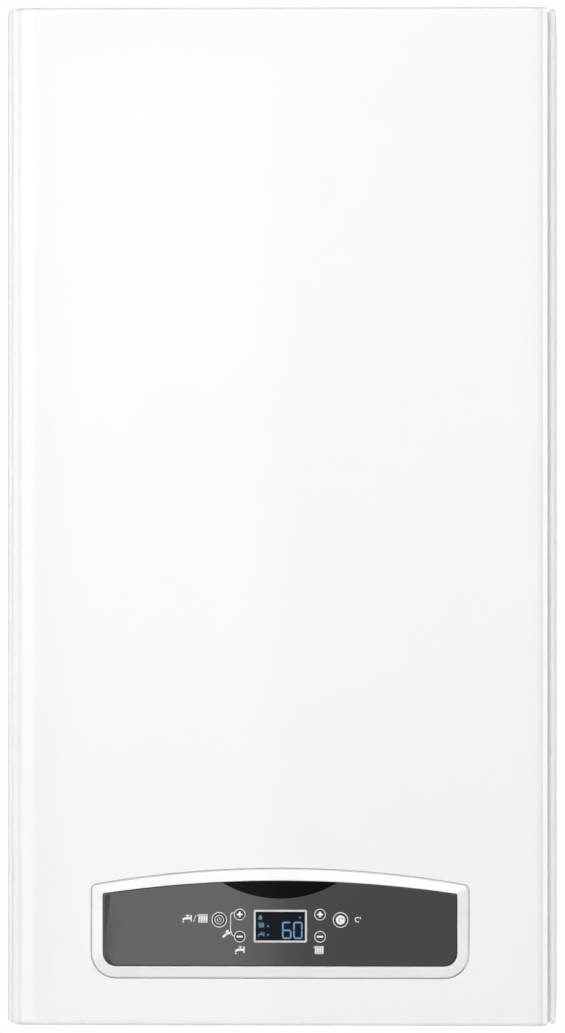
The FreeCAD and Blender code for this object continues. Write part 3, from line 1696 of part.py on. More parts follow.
def scalloped(u, v, radius, lobes):
    """A grip outline of equal round lobes, each a little flatter than a half circle."""
    lobe = radius * math.sin(math.pi / lobes) * LOBE_FULLNESS
    stations = []
    for index in range(lobes):
        turn = 2 * math.pi * index / lobes
        stations.append((u + radius * math.cos(turn), v + radius * math.sin(turn), lobe))
    return path(*stations)


def filling_tap_knob():
    """The filling tap's lobed knob and its stem, reached from below the floor."""
    piece = Piece("filling_tap_knob")
    place_xy = (sheet.fill_offset, -sheet.fill_setback)
    low = sheet.tail_bottom * 2
    grip = scalloped(*place_xy, sheet.knob_radius, int(sheet.knob_lobes.number))
    piece.pad("grip", "XY", (low, low + sheet.knob_length), grip)
    arm_height = sheet.block_height - sheet.block_radius - sheet.tap_radius
    stem = circle(*place_xy, sheet.stem_radius)
    piece.pad("stem", "XY", (low + sheet.knob_length, arm_height - sheet.sheet), stem)


def spout_place():
    """Where the relief valve's spout points down, seen from above."""
    middle = tail_y - sheet.block_radius - sheet.boss_length - sheet.relief_length / 2
    return (sheet.fill_offset + sheet.spout_reach, middle)


def safety_valve():
    """The relief valve's body with its discharge spout, between the manifold and its knob."""
    piece = Piece("safety_valve")
    back = tail_y - sheet.block_radius - sheet.boss_length
    front = back - sheet.relief_length
    place_xz = (sheet.fill_offset, sheet.block_height)
    bore = circle(*place_xz, sheet.stem_radius + sheet.shaft_play)
    piece.pad("body", "XZ", (back, front), circle(*place_xz, sheet.relief_radius), bore)
    spout_x, spout_y = spout_place()
    elbow = sheet.spout_radius + sheet.spout_step
    arm = circle(spout_y, place_xz[1], sheet.spout_radius)
    piece.pad("arm", "YZ", (place_xz[0] + sheet.relief_radius / 2, spout_x), arm)
    low, high = place_xz[1] - sheet.relief_radius, place_xz[1] + elbow
    piece.pad("elbow", "XY", (low, high), circle(spout_x, spout_y, elbow))
    spout = circle(spout_x, spout_y, sheet.spout_radius)
    piece.pad("spout", "XY", (low - sheet.spout_drop, low), spout)
    piece.pocket("bore", "XZ", (front, front + sheet.relief_length / 2), bore)


def safety_valve_knob():
    """The relief valve's test knob: turning it lifts the valve."""
    piece = Piece("safety_valve_knob")
    place_xz = (sheet.fill_offset, sheet.block_height)
    back = tail_y - sheet.block_radius - sheet.boss_length - sheet.relief_length
    start = back - sheet.knob_gap
    grip = scalloped(*place_xz, sheet.knob_radius, int(sheet.knob_lobes.number))
    piece.pad("grip", "XZ", (start, start - sheet.knob_length), grip)
    stem = circle(*place_xz, sheet.stem_radius)
    piece.pad("stem", "XZ", (start, start + sheet.knob_stem), stem)


def pump_body():
    """The pump's cast volute with its ports above and below and the boss of the air vent."""
    piece = Piece("pump_body")
    x = tails()[4][0]
    height = sheet.pump_height
    back = tail_y + sheet.volute_depth / 2
    front = back - sheet.volute_depth
    rim = sheet.volute_radius
    step = sheet.volute_step
    outline = path((back, 0), (back, rim - step), (back - step, rim), (front, rim), (front, 0))
    piece.turn("volute", "YZ", x, (0, height), "H", outline)
    seat = sheet.block_height + sheet.block_radius + sheet.boss_length
    inlet = circle(x, tail_y, sheet.port_radius + sheet.boss_length)
    piece.pad("inlet", "XY", (seat, height), inlet)
    top = height + rim + sheet.nut_height
    piece.pad("outlet", "XY", (height, top), circle(x, tail_y, sheet.port_radius))
    vent = circle(x + sheet.vent_offset, tail_y, sheet.sensor_radius)
    piece.pad("vent_boss", "XY", (height, height + rim), vent)


def pump_motor():
    """The pump motor: a can with cooling step, end cap and terminal box."""
    piece = Piece("pump_motor")
    x = tails()[4][0]
    height = sheet.pump_height
    start = tail_y - sheet.volute_depth / 2
    end = start - sheet.pump_motor_length
    can = sheet.pump_motor_radius
    step = sheet.pump_cap_length
    cap = sheet.pump_cap_radius
    outline = path(
        (start, 0),
        (start, can),
        (end + step, can),
        (end, can - step),
        (end, cap),
        (end - step, cap),
        (end - step, 0),
    )
    piece.turn("can", "YZ", x, (0, height), "H", outline)
    box_limits = (height + can / 2, height + can + sheet.pump_box_height / 2)
    box = rectangle(across(x, sheet.pump_box_width), box_limits)
    piece.pad("terminal_box", "XZ", (start - step, end + sheet.pump_box_setback), box)


def air_vent():
    """The automatic air vent on the pump, with its small screw cap."""
    piece = Piece("air_vent")
    base = sheet.pump_height + sheet.volute_radius
    x = tails()[4][0] + sheet.vent_offset
    rim, cap = sheet.vent_radius, sheet.vent_cap
    top = base + sheet.vent_height
    outline = path(
        (0, base),
        (rim, base),
        (rim, top - cap),
        (rim - cap, top),
        (cap, top),
        (cap, top + cap),
        (0, top + cap),
    )
    piece.turn("float_chamber", "XZ", tail_y, (x, 0), "V", outline)


def diverter_motor():
    """The motor that drives the diverter valve, seated on the flow manifold."""
    piece = Piece("diverter_motor")
    back = tail_y - sheet.block_radius - sheet.boss_length
    front = back - sheet.diverter_depth
    outline = rounded(
        across(tails()[0][0], sheet.diverter_width),
        across(sheet.block_height, sheet.diverter_height),
        sheet.box_corner,
    )
    piece.pad("case", "XZ", (back, front), outline)
    piece.chamfer("edge", sheet.box_wall, lambda middle, edge: near(middle.y, front))


def pressure_sensor():
    """The water pressure sensor, with a hexagon to screw it in and a plug collar."""
    back = tail_y - sheet.block_radius - sheet.boss_length
    middle = (-sheet.sensor_offset, sheet.block_height)
    piece = Piece("pressure_sensor")
    nut = hexagon(*middle, sheet.sensor_radius)
    piece.pad("hexagon", "XZ", (back, back - sheet.sensor_nut), nut)
    body = circle(*middle, sheet.sensor_body)
    piece.pad("body", "XZ", (back, back - sheet.sensor_length), body)


def flow_sensor():
    """The turbine flow sensor's collar around the cold water tail, with its plug."""
    piece = Piece("flow_sensor")
    x, radius, _ = tails()[3]
    low = floor_top + sheet.nut_height
    high = sheet.block_height - sheet.block_radius - sheet.sheet
    bore = circle(x, tail_y, radius + sheet.shaft_play)
    piece.pad("collar", "XY", (low, high), circle(x, tail_y, sheet.flow_sensor_radius), bore)
    front = tail_y - sheet.flow_sensor_radius
    plug = rectangle(across(x, radius), (front - sheet.spigot_length / 2, front + sheet.sheet * 2))
    piece.pad("plug", "XY", (low, high), plug)


def gas_valve():
    """The gas valve: a cast block on its tail, with a regulator cap and a flanged outlet."""
    piece = Piece("gas_valve")
    low = sheet.gas_bottom
    back = -sheet.gas_back
    front = back - sheet.gas_depth
    half = sheet.gas_width / 2
    tail(piece, "gas", 2, low)
    outline = rounded(both(half), (low, low + sheet.gas_height), sheet.box_corner)
    piece.pad("block", "XZ", (back, front), outline)
    outlet = circle(0, sheet.gas_outlet_height, sheet.gas_pipe_radius + sheet.nut_extra)
    piece.pad("outlet", "XZ", (front, front - sheet.nut_extra), outlet)
    cap = circle(0, (back + front) / 2, sheet.coil_radius)
    top = low + sheet.gas_height
    piece.pad("regulator", "XY", (top, top + sheet.nut_height), cap)


def gas_valve_coil():
    """The modulating coil on the front of the gas valve, with its plug."""
    piece = Piece("gas_valve_coil")
    front = -sheet.gas_back - sheet.gas_depth
    middle = (0, sheet.gas_bottom + sheet.coil_radius + sheet.box_wall)
    piece.pad("coil", "XZ", (front, front - sheet.coil_length), circle(*middle, sheet.coil_radius))
    plug = rectangle(
        across(0, sheet.coil_radius),
        (middle[1] - sheet.coil_radius - sheet.nut_extra, middle[1] - sheet.coil_radius / 2),
    )
    end = front - sheet.coil_length
    piece.pad("plug", "XZ", (end + sheet.coil_radius, end), plug)


def pipes():
    """The copper pipes: flow, return, gas, and the thin one to the expansion vessel."""
    radius, bend = sheet.pipe_radius, sheet.pipe_bend
    stub_end = hearth_half - sheet.sheet + sheet.tube_stub
    flow_y = tube_place(0)
    flow_low = sheet.block_height + sheet.block_radius + sheet.boss_length
    pipe(
        "flow_pipe",
        radius,
        bend,
        (
            (-stub_end, flow_y, tube_height),
            (-riser_x, flow_y, tube_height),
            (-riser_x, flow_y, flow_low),
        ),
    )
    return_y = tube_place(sheet.tube_count - 1)
    pump_x = tails()[4][0]
    pump_top = sheet.pump_height + sheet.volute_radius + sheet.nut_height
    pipe(
        "return_pipe",
        radius,
        bend,
        (
            (pump_x, tail_y, pump_top),
            (pump_x, tail_y, pump_top + bend),
            (riser_x, return_y, sheet.chamber_floor - bend),
            (riser_x, return_y, tube_height),
            (stub_end, return_y, tube_height),
        ),
    )
    outlet_y = -sheet.gas_back - sheet.gas_depth - sheet.nut_extra
    manifold_middle = sheet.bar_bottom + sheet.mouth_height / 2 + sheet.bar_rail
    manifold_low = manifold_middle - sheet.manifold_size / 2
    pipe(
        "gas_pipe",
        sheet.gas_pipe_radius,
        bend,
        (
            (0, outlet_y, sheet.gas_outlet_height),
            (0, -sheet.gas_riser, sheet.gas_outlet_height),
            (0, -sheet.gas_riser, manifold_low),
        ),
    )
    vessel_y = -sheet.frame_sheet - sheet.vessel_depth / 2
    pipe(
        "vessel_pipe",
        sheet.vessel_pipe_radius,
        bend,
        (
            (sheet.vessel_port, vessel_y, sheet.vessel_bottom - sheet.nut_height),
            (sheet.vessel_port, vessel_y, sheet.pump_height),
            (sheet.vessel_port, tail_y + sheet.volute_depth / 2, sheet.pump_height),
        ),
    )


def cable_gland():
    """The gland for the supply cable: a flange above the floor, a nut below, a bore between."""
    piece = Piece("cable_gland")
    bore = sheet.gland_radius / 2
    body = sheet.gland_radius
    flange = body + sheet.nut_extra
    low = sheet.floor_height - sheet.gland_length / 2
    outline = path(
        (bore, low),
        (body, low),
        (body, floor_top),
        (flange, floor_top),
        (flange, floor_top + sheet.nut_extra),
        (bore, floor_top + sheet.nut_extra),
    )
    piece.turn("body", "XZ", -sheet.fill_setback, (-sheet.gland_offset, 0), "V", outline)


def build():
    """Make every sub-part."""
    front_cover()
    cover_brackets()
    cover_screws()
    side_panel("left_side_panel", -1)
    side_panel("right_side_panel", 1)
    rear_frame()
    top_plate()
    top_rail()
    connection_plate()
    lower_rail()
    control_box_housing()
    control_box_lid()
    main_board()
    fascia_frame()
    fascia_panel()
    badge_lens()
    display_window()
    buttons()
    combustion_chamber()
    chamber_front_panel()
    sight_glass()
    burner_housing()
    insulation_lining()
    burner()
    injector_manifold()
    electrodes()
    heat_exchanger()
    smoke_hood()
    fan_housing()
    fan_impeller()
    fan_motor()
    air_pressure_switch()
    flue_socket()
    air_intake_collar()
    expansion_vessel()
    plate_heat_exchanger()
    flow_manifold()
    return_manifold()
    filling_tap_knob()
    safety_valve()
    safety_valve_knob()
    pump_body()
    pump_motor()
    air_vent()
    diverter_motor()
    pressure_sensor()
    flow_sensor()
    gas_valve()
    gas_valve_coil()
    pipes()
    cable_gland()


def check():
    """Stop unless every object recomputed and every sub-part is a sound shape."""
    failed = [item.Name for item in doc.Objects if {"Invalid", "Error"} & set(item.State)]
    failed += [item.Label for item in sub_parts if item.Shape.isNull() or not item.Shape.isValid()]
    if failed:
        raise RuntimeError(f"failed: {', '.join(failed)}")


def write():
    """Write each sub-part to its own file."""
    os.makedirs("parts", exist_ok=True)
    for item in sub_parts:
        item.Shape.exportStep(f"parts/{item.Label}.step")


build()
doc.recompute()
check()
write()
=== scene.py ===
"""The looks of a wall-hung combi boiler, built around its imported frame.

Lengths are in metres: +X to the right, -Y out of the wall, +Z up, with the origin on the wall.
"""

import json
import logging
import math
from collections.abc import Iterable, Mapping, Sequence
from dataclasses import dataclass
from enum import Enum
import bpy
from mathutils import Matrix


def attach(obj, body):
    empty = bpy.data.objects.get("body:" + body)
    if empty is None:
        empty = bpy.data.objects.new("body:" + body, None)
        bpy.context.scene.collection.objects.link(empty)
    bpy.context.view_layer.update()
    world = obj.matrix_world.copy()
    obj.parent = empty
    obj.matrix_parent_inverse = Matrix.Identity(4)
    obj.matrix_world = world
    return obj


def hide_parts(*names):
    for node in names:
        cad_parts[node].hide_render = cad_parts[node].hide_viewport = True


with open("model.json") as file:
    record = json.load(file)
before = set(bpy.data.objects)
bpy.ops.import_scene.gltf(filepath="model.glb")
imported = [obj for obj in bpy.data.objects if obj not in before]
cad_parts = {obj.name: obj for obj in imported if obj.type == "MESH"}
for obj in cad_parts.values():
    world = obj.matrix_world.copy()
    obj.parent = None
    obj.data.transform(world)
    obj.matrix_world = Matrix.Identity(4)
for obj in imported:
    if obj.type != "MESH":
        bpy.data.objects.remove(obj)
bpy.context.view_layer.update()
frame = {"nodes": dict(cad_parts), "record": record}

from types import MappingProxyType
from typing import ClassVar

import bmesh
import bpy
from mathutils import Vector

log = logging.getLogger("boiler")

Place = tuple[float, float]
Triple = tuple[float, float, float]
Socket = bpy.types.NodeSocket
Row = list[bmesh.types.BMVert]

MILLIMETRE = 0.001
SMOOTH_ANGLE = math.radians(32)
LEAST_CORNER, LEAST_SHOULDER = 0.05 * MILLIMETRE, 0.2 * MILLIMETRE
EASE = 0.3  # where an eased edge is broken, as a share of its width
BAR_EASE = 0.12  # a bar's corner, as a share of its lesser side
FOLD_STEPS, CURVE_STEPS, SHOULDER_STEPS, HEAD_STEPS, ROUND_STEPS = 5, 8, 12, 20, 48


# Outlines and solid forms ------------------------------------------------------------------


class Plane(Enum):
    """The plane that an outline is drawn in, and the way its depth is counted."""

    FRONT = "front"
    FLOOR = "floor"

    def put(self, u: float, v: float, depth: float) -> Vector:
        """The point of the frame at two coordinates of the plane and a depth."""
        return Vector((u, depth, v) if self is Plane.FRONT else (u, v, depth))


def arc(centre: Place, radius: float, start: float, end: float, steps: int) -> list[Place]:
    """Points along an arc between two angles in degrees, cut into straight runs."""
    turns = [math.radians(start + (end - start) * step / steps) for step in range(steps + 1)]
    return [(centre[0] + radius * math.cos(a), centre[1] + radius * math.sin(a)) for a in turns]


@dataclass(frozen=True)
class Rounded:
    """A rectangle with rounded corners."""

    u: Place
    v: Place
    radius: float
    steps: int = 6

    def points(self, grow: float = 0.0) -> list[Place]:
        """The outline's points, moved outwards by a distance.

        Args:
            grow: How far the outline is moved outwards.

        Returns:
            The points in order round the outline.
        """
        left, right = self.u[0] - grow, self.u[1] + grow
        low, high = self.v[0] - grow, self.v[1] + grow
        radius = max(self.radius + grow, LEAST_CORNER)
        corners = (
            (right - radius, low + radius, -90),
            (right - radius, high - radius, 0),
            (left + radius, high - radius, 90),
            (left + radius, low + radius, 180),
        )
        found: list[Place] = []
        for across, up, start in corners:
            found += arc((across, up), radius, start, start + 90, self.steps)
        return found


@dataclass(frozen=True)
class Round:
    """A full circle, or with few steps a regular polygon."""

    centre: Place
    radius: float
    steps: int = 40
    turn: float = 0.0

    def points(self, grow: float = 0.0) -> list[Place]:
        """The outline's points, moved outwards by a distance."""
        return arc(self.centre, self.radius + grow, self.turn, self.turn + 360, self.steps)[:-1]


@dataclass(frozen=True)
class Arched:
    """A panel's outline with a gently arched upper edge and rounded corners."""

    width: float
    low: float
    crown: float
    bend: float
    corner: float
    shoulder: float
    steps: int = 8
    crown_steps: int = 48

    def points(self, grow: float = 0.0) -> list[Place]:
        """The outline's points, moved outwards by a distance.

        Args:
            grow: How far the outline is moved outwards.

        Returns:
            The points in order round the outline.
        """
        half = self.width / 2 + grow
        low = self.low - grow
        bend = self.bend + grow
        corner = self.corner + grow
        shoulder = max(self.shoulder + grow, LEAST_SHOULDER)
        middle = self.crown + grow - bend
        inset = half - shoulder
        reach = math.sqrt((bend - shoulder) ** 2 - inset**2)
        lean = math.degrees(math.atan2(reach, inset))
        found = arc((half - corner, low + corner), corner, -90, 0, self.steps)
        found += arc((inset, middle + reach), shoulder, 0, lean, self.steps)
        found += arc((0.0, middle), bend, lean, 180 - lean, self.crown_steps)[1:-1]
        found += arc((-inset, middle + reach), shoulder, 180 - lean, 180, self.steps)
        found += arc((corner - half, low + corner), corner, 180, 270, self.steps)
        return found


@dataclass(frozen=True)
class LensOutline:
    """The lens: the fascia's crown above and a deeper bow below.

    Its pointed ends move further than its crown where it grows.
    """

    half: float
    crown: float
    bend: float
    drop: float
    steps: int = 40

    def points(self, grow: float = 0.0) -> list[Place]:
        """The outline's points, moved outwards by a distance.

        Args:
            grow: How far the outline is moved outwards.

        Returns:
            The points in order round the outline.
        """
        half, crown, bend = self.half + 3 * grow, self.crown + grow, self.bend + grow
        brow = crown - bend + math.sqrt(bend**2 - half**2)
        sag = self.drop + 2 * grow - (crown - brow)
        droop = (half**2 + sag**2) / (2 * sag)
        upper = math.degrees(math.asin(half / bend))
        lower = math.degrees(math.asin(half / droop))
        top = arc((0.0, crown - bend), bend, 90 - upper, 90 + upper, self.steps)
        bow = arc((0.0, brow - sag + droop), droop, 270 - lower, 270 + lower, self.steps)
        return top + bow[1:-1]


@dataclass(frozen=True)
class Shape:
    """A free outline of straight runs, which doesn't grow."""

    corners: tuple[Place, ...]

    def points(self, grow: float = 0.0) -> list[Place]:
        """The outline's points; the distance isn't used."""
        return list(self.corners)


Outline = Rounded | Round | Arched | LensOutline | Shape


def placed(name: str, data: bpy.types.ID) -> bpy.types.Object:
    """Put a new object into the scene.

    Args:
        name: The object's name.
        data: Its mesh, lamp or camera.

    Returns:
        The object.
    """
    made = bpy.data.objects.new(name, data)
    bpy.context.scene.collection.objects.link(made)
    return made


class Form:
    """The mesh of one piece, put together from loops of points."""

    def __init__(self, name: str) -> None:
        """Start an empty mesh under the piece's name."""
        self.name = name
        self.mesh = bmesh.new()

    def loop(self, points: Iterable[Vector]) -> Row:
        """Add a row of points that faces are then drawn between."""
        return [self.mesh.verts.new(point) for point in points]

    def ring(self, plane: Plane, points: Iterable[Place], depth: float) -> Row:
        """Add a row of points drawn in a plane, all at one depth."""
        return self.loop(plane.put(u, v, depth) for u, v in points)

    def skin(self, rows: Sequence[Row], closed: bool = True) -> Sequence[Row]:
        """Draw faces from each row to the next, of as many points each.

        Args:
            rows: The rows of points.
            closed: Whether each row is a ring.

        Returns:
            The same rows.
        """
        for first, second in zip(rows, rows[1:]):
            count = len(first)
            for index in range(count if closed else count - 1):
                after = (index + 1) % count
                self.mesh.faces.new((first[index], first[after], second[after], second[index]))
        return rows

    def cap(self, *loops: Row) -> None:
        """Fill the flat region inside the first loop and outside the others.

        Args:
            loops: The rings of points, the outer one first.
        """
        edges = []
        for loop in loops:
            for index, corner in enumerate(loop):
                ends = (corner, loop[(index + 1) % len(loop)])
                edges.append(self.mesh.edges.get(ends) or self.mesh.edges.new(ends))
        bmesh.ops.triangle_fill(self.mesh, use_beauty=True, edges=edges)

    def close(self, rows: Sequence[Row]) -> None:
        """Fill the first and the last of some rings."""
        self.cap(rows[0])
        self.cap(rows[-1])

    def walls(self, plane: Plane, outline: Outline, steps: Iterable[Place]) -> Sequence[Row]:
        """Carry an outline through rows of growth and depth, and give the rows of points."""
        return self.skin([self.ring(plane, outline.points(grow), depth) for grow, depth in steps])

    def moulding(self, plane: Plane, outline: Outline, steps: Iterable[Place]) -> None:
        """Carry an outline through rows of growth and depth, closed at both ends."""
        self.close(self.walls(plane, outline, steps))

    def plate(
        self,
        plane: Plane,
        outline: Outline,
        holes: Sequence[Outline],
        depth: Place,
        edge: float = 0.0,
    ) -> None:
        """A flat plate with holes right through it, from a back depth to a face depth.

        Args:
            plane: The plane of the plate.
            outline: The plate's outline.
            holes: The outlines of its holes.
            depth: The depth of its back and of its face.
            edge: The bevel along the face's edges.
        """
        back, face = depth
        shoulder = face - edge if face > back else face + edge
        rims = []
        for shape, side in [(outline, -1.0), *((hole, 1.0) for hole in holes)]:
            eased = [(0.0, shoulder)] if edge else []
            rims.append(self.walls(plane, shape, [(0.0, back), *eased, (side * edge, face)]))
        for end in (0, -1):
            self.cap(*(rows[end] for rows in rims))

    def turned(
        self, plane: Plane, centre: Place, profile: Sequence[Place], steps: int = 40
    ) -> None:
        """Turn a profile about the plane's normal.

        Args:
            plane: The plane that the profile stands on.
            centre: The place that it turns about.
            profile: The radius and depth of each of its points.
            steps: How many points go to a turn.
        """
        rows: list[Row] = []
        for radius, depth in profile:
            circle = Round(centre, radius, steps).points() if radius > 0.0 else [centre]
            rows.append(self.ring(plane, circle, depth))
        for first, second in zip(rows, rows[1:]):
            tip, rim = (first, second) if len(first) == 1 else (second, first)
            if len(tip) > 1:
                self.skin([first, second])
            elif len(rim) > 1:
                for index, corner in enumerate(rim):
                    self.mesh.faces.new((tip[0], corner, rim[(index + 1) % len(rim)]))

    def finished(self) -> bpy.types.Mesh:
        """Close the making of the mesh.

        Returns:
            The mesh as Blender keeps it.
        """
        data = bpy.data.meshes.new(self.name)
        self.mesh.to_mesh(data)
        self.mesh.free()
        return data

    def piece(
        self,
        finish: str,
        body: str,
        replaces: Sequence[str] = (),
        wall: float = 0.0,
    ) -> None:
        """Make the piece's object and fix it to its body.

        Args:
            finish: The name of the piece's finish.
            body: The body that it moves with.
            replaces: The frame's nodes that it stands for.
            wall: The thickness given to an open skin, inwards.
        """
        bmesh.ops.recalc_face_normals(self.mesh, faces=self.mesh.faces)
        self.mesh.edges.index_update()
        borders = [edge.index for edge in self.mesh.edges if len(edge.link_faces) < 2]
        data = self.finished()
        data.polygons.foreach_set("use_smooth", [True] * len(data.polygons))
        data.set_sharp_from_angle(angle=SMOOTH_ANGLE)
        for index in borders:
            data.edges[index].use_edge_sharp = True
        data.materials.append(Paints.made[finish])
        made = placed(self.name, data)
        if wall:
            skin = made.modifiers.new("wall", "SOLIDIFY")
            skin.thickness = wall
            skin.offset = -1
        even = made.modifiers.new("even_shading", "WEIGHTED_NORMAL")
        even.keep_sharp = True
        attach(made, body)
        if replaces:
            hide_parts(*replaces)
        log.info("%s: %d faces on %s", self.name, len(data.polygons), body)


# Finishes ----------------------------------------------------------------------------------


class Graph:
    """A tree of shader nodes in the making."""

    def __init__(self, tree: bpy.types.NodeTree) -> None:
        """Take the tree that the nodes go into."""
        self.tree = tree

    def feed(self, target: Socket, value: object) -> None:
        """Give an input its value, or join it to another node's output.

        Args:
            target: The input.
            value: The value or the output.
        """
        if isinstance(value, Socket):
            self.tree.links.new(value, target)
        elif target.type == "RGBA":
            target.default_value = (*value, 1.0)
        else:
            target.default_value = value

    def node(
        self, kind: str, feeds: Mapping[str | int, object] = MappingProxyType({}), **options: object
    ) -> bpy.types.NodeOutputs:
        """Add a node.

        Args:
            kind: The node's kind.
            feeds: The value of each of its inputs, or the output that it is joined to.
            options: Its other options.

        Returns:
            Its outputs.
        """
        made = self.tree.nodes.new(f"ShaderNode{kind}")
        for key, value in options.items():
            setattr(made, key, value)
        for key, value in feeds.items():
            self.feed(made.inputs[key], value)
        return made.outputs

    def product(self, first: Socket, second: Socket, clamp: bool = False) -> Socket:
        """Multiply two masks."""
        return self.node("Math", {0: first, 1: second}, operation="MULTIPLY", use_clamp=clamp)[0]

    def span(
        self, value: Socket, low: object, high: object, start: object = 0.0, end: object = 1.0
    ) -> Socket:
        """Stretch a value from its own range, start to end, over a new one, low to high."""
        limits = {"From Min": start, "From Max": end, "To Min": low, "To Max": high}
        return self.node("MapRange", {"Value": value, **limits})[0]


class Effect(Graph):
    """A shader node group with named inputs and one output, built once and shared."""

    made: ClassVar[dict[str, bpy.types.NodeTree]] = {}

    def __init__(self, name: str, **inputs: float | Triple) -> None:
        """Start the group's tree with its inputs and their usual values.

        Args:
            name: The effect's name.
            inputs: The usual value of each input.
        """
        super().__init__(bpy.data.node_groups.new(name, "ShaderNodeTree"))
        Effect.made[name] = self.tree
        for key, value in inputs.items():
            kind = "NodeSocketVector" if isinstance(value, tuple) else "NodeSocketFloat"
            socket = self.tree.interface.new_socket(key, in_out="INPUT", socket_type=kind)
            socket.default_value = value
        self.given = self.tree.nodes.new("NodeGroupInput").outputs
        self.place = self.node("TexCoord")["Object"]

    def gives(self, name: str, source: Socket) -> None:
        """Add the group's output."""
        self.tree.interface.new_socket(name, in_out="OUTPUT", socket_type="NodeSocketFloat")
        self.feed(self.tree.nodes.new("NodeGroupOutput").inputs[name], source)


def speckle_effect() -> None:
    """Fine even grain: a mask from 0 to 1 at a given number of grains to the metre."""
    effect = Effect("speckle", Fineness=800.0, Depth=3.0, Stretch=(1.0, 1.0, 1.0))
    given = effect.given
    drawn = effect.node("VectorMath", {0: effect.place, 1: given["Stretch"]}, operation="MULTIPLY")
    noise = {"Vector": drawn[0], "Scale": given["Fineness"], "Detail": given["Depth"]}
    effect.gives("Mask", effect.node("TexNoise", noise)["Fac"])


def spangle_effect() -> None:
    """The crystal flowers of hot-dip zinc: a tone for each crystal."""
    effect = Effect("spangle", Fineness=90.0)
    warp = effect.node("TexNoise", {"Vector": effect.place, "Scale": 160.0})["Color"]
    shift = {0: warp, 1: (0.01, 0.01, 0.01), 2: effect.place}
    bent = effect.node("VectorMath", shift, operation="MULTIPLY_ADD")[0]
    crystals = effect.node("TexVoronoi", {"Vector": bent, "Scale": effect.given["Fineness"]})
    effect.gives("Tone", effect.node("SeparateColor", {0: crystals["Color"]})["Red"])


def dust_effect() -> None:
    """A film of dust on faces that look up, broken into patches."""
    effect = Effect("dust", Amount=0.3)
    facing = effect.node("SeparateXYZ", {0: effect.node("NewGeometry")["Normal"]})["Z"]
    patches = effect.node("TexNoise", {"Vector": effect.place, "Scale": 45.0, "Detail": 6.0})
    film = effect.product(effect.span(facing, 0.0, 1.0, 0.3), patches["Fac"])
    effect.gives("Mask", effect.product(film, effect.given["Amount"], clamp=True))


def wear_effect() -> None:
    """Rubbed edges: a mask that rises where the surface turns sharply outwards."""
    effect = Effect("wear", Amount=1.0)
    edges = effect.span(effect.node("NewGeometry")["Pointiness"], 0.0, 1.0, 0.52, 0.62)
    breaks = effect.node("TexNoise", {"Vector": effect.place, "Scale": 240.0})
    rubbed = effect.product(edges, breaks["Fac"])
    effect.gives("Mask", effect.product(rubbed, effect.given["Amount"], clamp=True))


class Recipe(Graph):
    """A material in the making, around one Principled shader."""

    def __init__(self, name: str) -> None:
        """Start the material with its shader.

        Args:
            name: The material's name.
        """
        self.material = bpy.data.materials.new(name)
        self.material.use_nodes = True
        super().__init__(self.material.node_tree)
        self.shader = self.tree.nodes["Principled BSDF"]

    def surface(self, **inputs: object) -> None:
        """Set or join inputs of the shader; an underscore stands for a space."""
        for key, value in inputs.items():
            self.feed(self.shader.inputs[key.replace("_", " ")], value)

    def effect(self, name: str, **values: float | Triple) -> Socket:
        """Place a shared effect with its own values, and give its output."""
        return self.node("Group", values, node_tree=Effect.made[name])[0]

    def mix(self, mask: Socket, dark: Triple | Socket, light: Triple | Socket) -> Socket:
        """Blend two colours by a mask, which gives the share of the second."""
        return self.node("Mix", {"Factor": mask, 6: dark, 7: light}, data_type="RGBA")[2]

    def bump(self, height: Socket, depth: float, strength: float = 0.5) -> None:
        """Let a value raise the surface by a depth in millimetres."""
        relief = {"Strength": strength, "Distance": depth * MILLIMETRE, "Height": height}
        self.surface(Normal=self.node("Bump", relief)["Normal"])


def dimmed(colour: Triple, share: float) -> Triple:
    """A colour at a share of its strength."""
    return tuple(part * share for part in colour)


@dataclass(frozen=True)
class Finish:
    """A kind of finish, which sets a shader up in its own way."""

    name: str

    def fill(self, recipe: Recipe) -> None:
        """Set the shader up; every kind has its own way."""
        raise NotImplementedError

    def build(self) -> bpy.types.Material:
        """The finish as a material.

        Returns:
            The material.
        """
        recipe = Recipe(self.name)
        self.fill(recipe)
        return recipe.material


@dataclass(frozen=True)
class Enamel(Finish):
    """Stoved enamel: a smooth skin with a faint orange peel."""

    colour: Triple
    shade: Triple
    roughness: float = 0.022
    peel: float = 0.012
    gloss: float = 0.3

    def fill(self, recipe: Recipe) -> None:
        """Set the shader up.

        Args:
            recipe: The material in the making.
        """
        drift = recipe.effect("speckle", Fineness=6.0, Depth=2.0)
        film = recipe.effect("speckle", Fineness=30.0, Depth=5.0)
        recipe.surface(
            Specular_IOR_Level=self.gloss,
            Base_Color=recipe.mix(drift, self.shade, self.colour),
            Roughness=recipe.span(film, self.roughness, self.roughness * 1.5),
        )
        recipe.bump(recipe.effect("speckle", Fineness=420.0, Depth=1.0), self.peel, 0.25)


@dataclass(frozen=True)
class Zinc(Finish):
    """Galvanised sheet with its crystal pattern, rolling marks and a film of dust."""

    dark: Triple
    light: Triple
    dirt: Triple = (0.42, 0.4, 0.37)
    fineness: float = 90.0
    dust: float = 0.25

    def fill(self, recipe: Recipe) -> None:
        """Set the shader up.

        Args:
            recipe: The material in the making.
        """
        tone = recipe.effect("spangle", Fineness=self.fineness)
        metal = recipe.mix(tone, self.dark, self.light)
        recipe.surface(
            Metallic=1.0,
            Base_Color=recipe.mix(recipe.effect("dust", Amount=self.dust), metal, self.dirt),
            Roughness=recipe.span(tone, 0.34, 0.5),
        )
        recipe.bump(recipe.effect("speckle", Fineness=700.0, Depth=2.0), 0.03, 0.4)


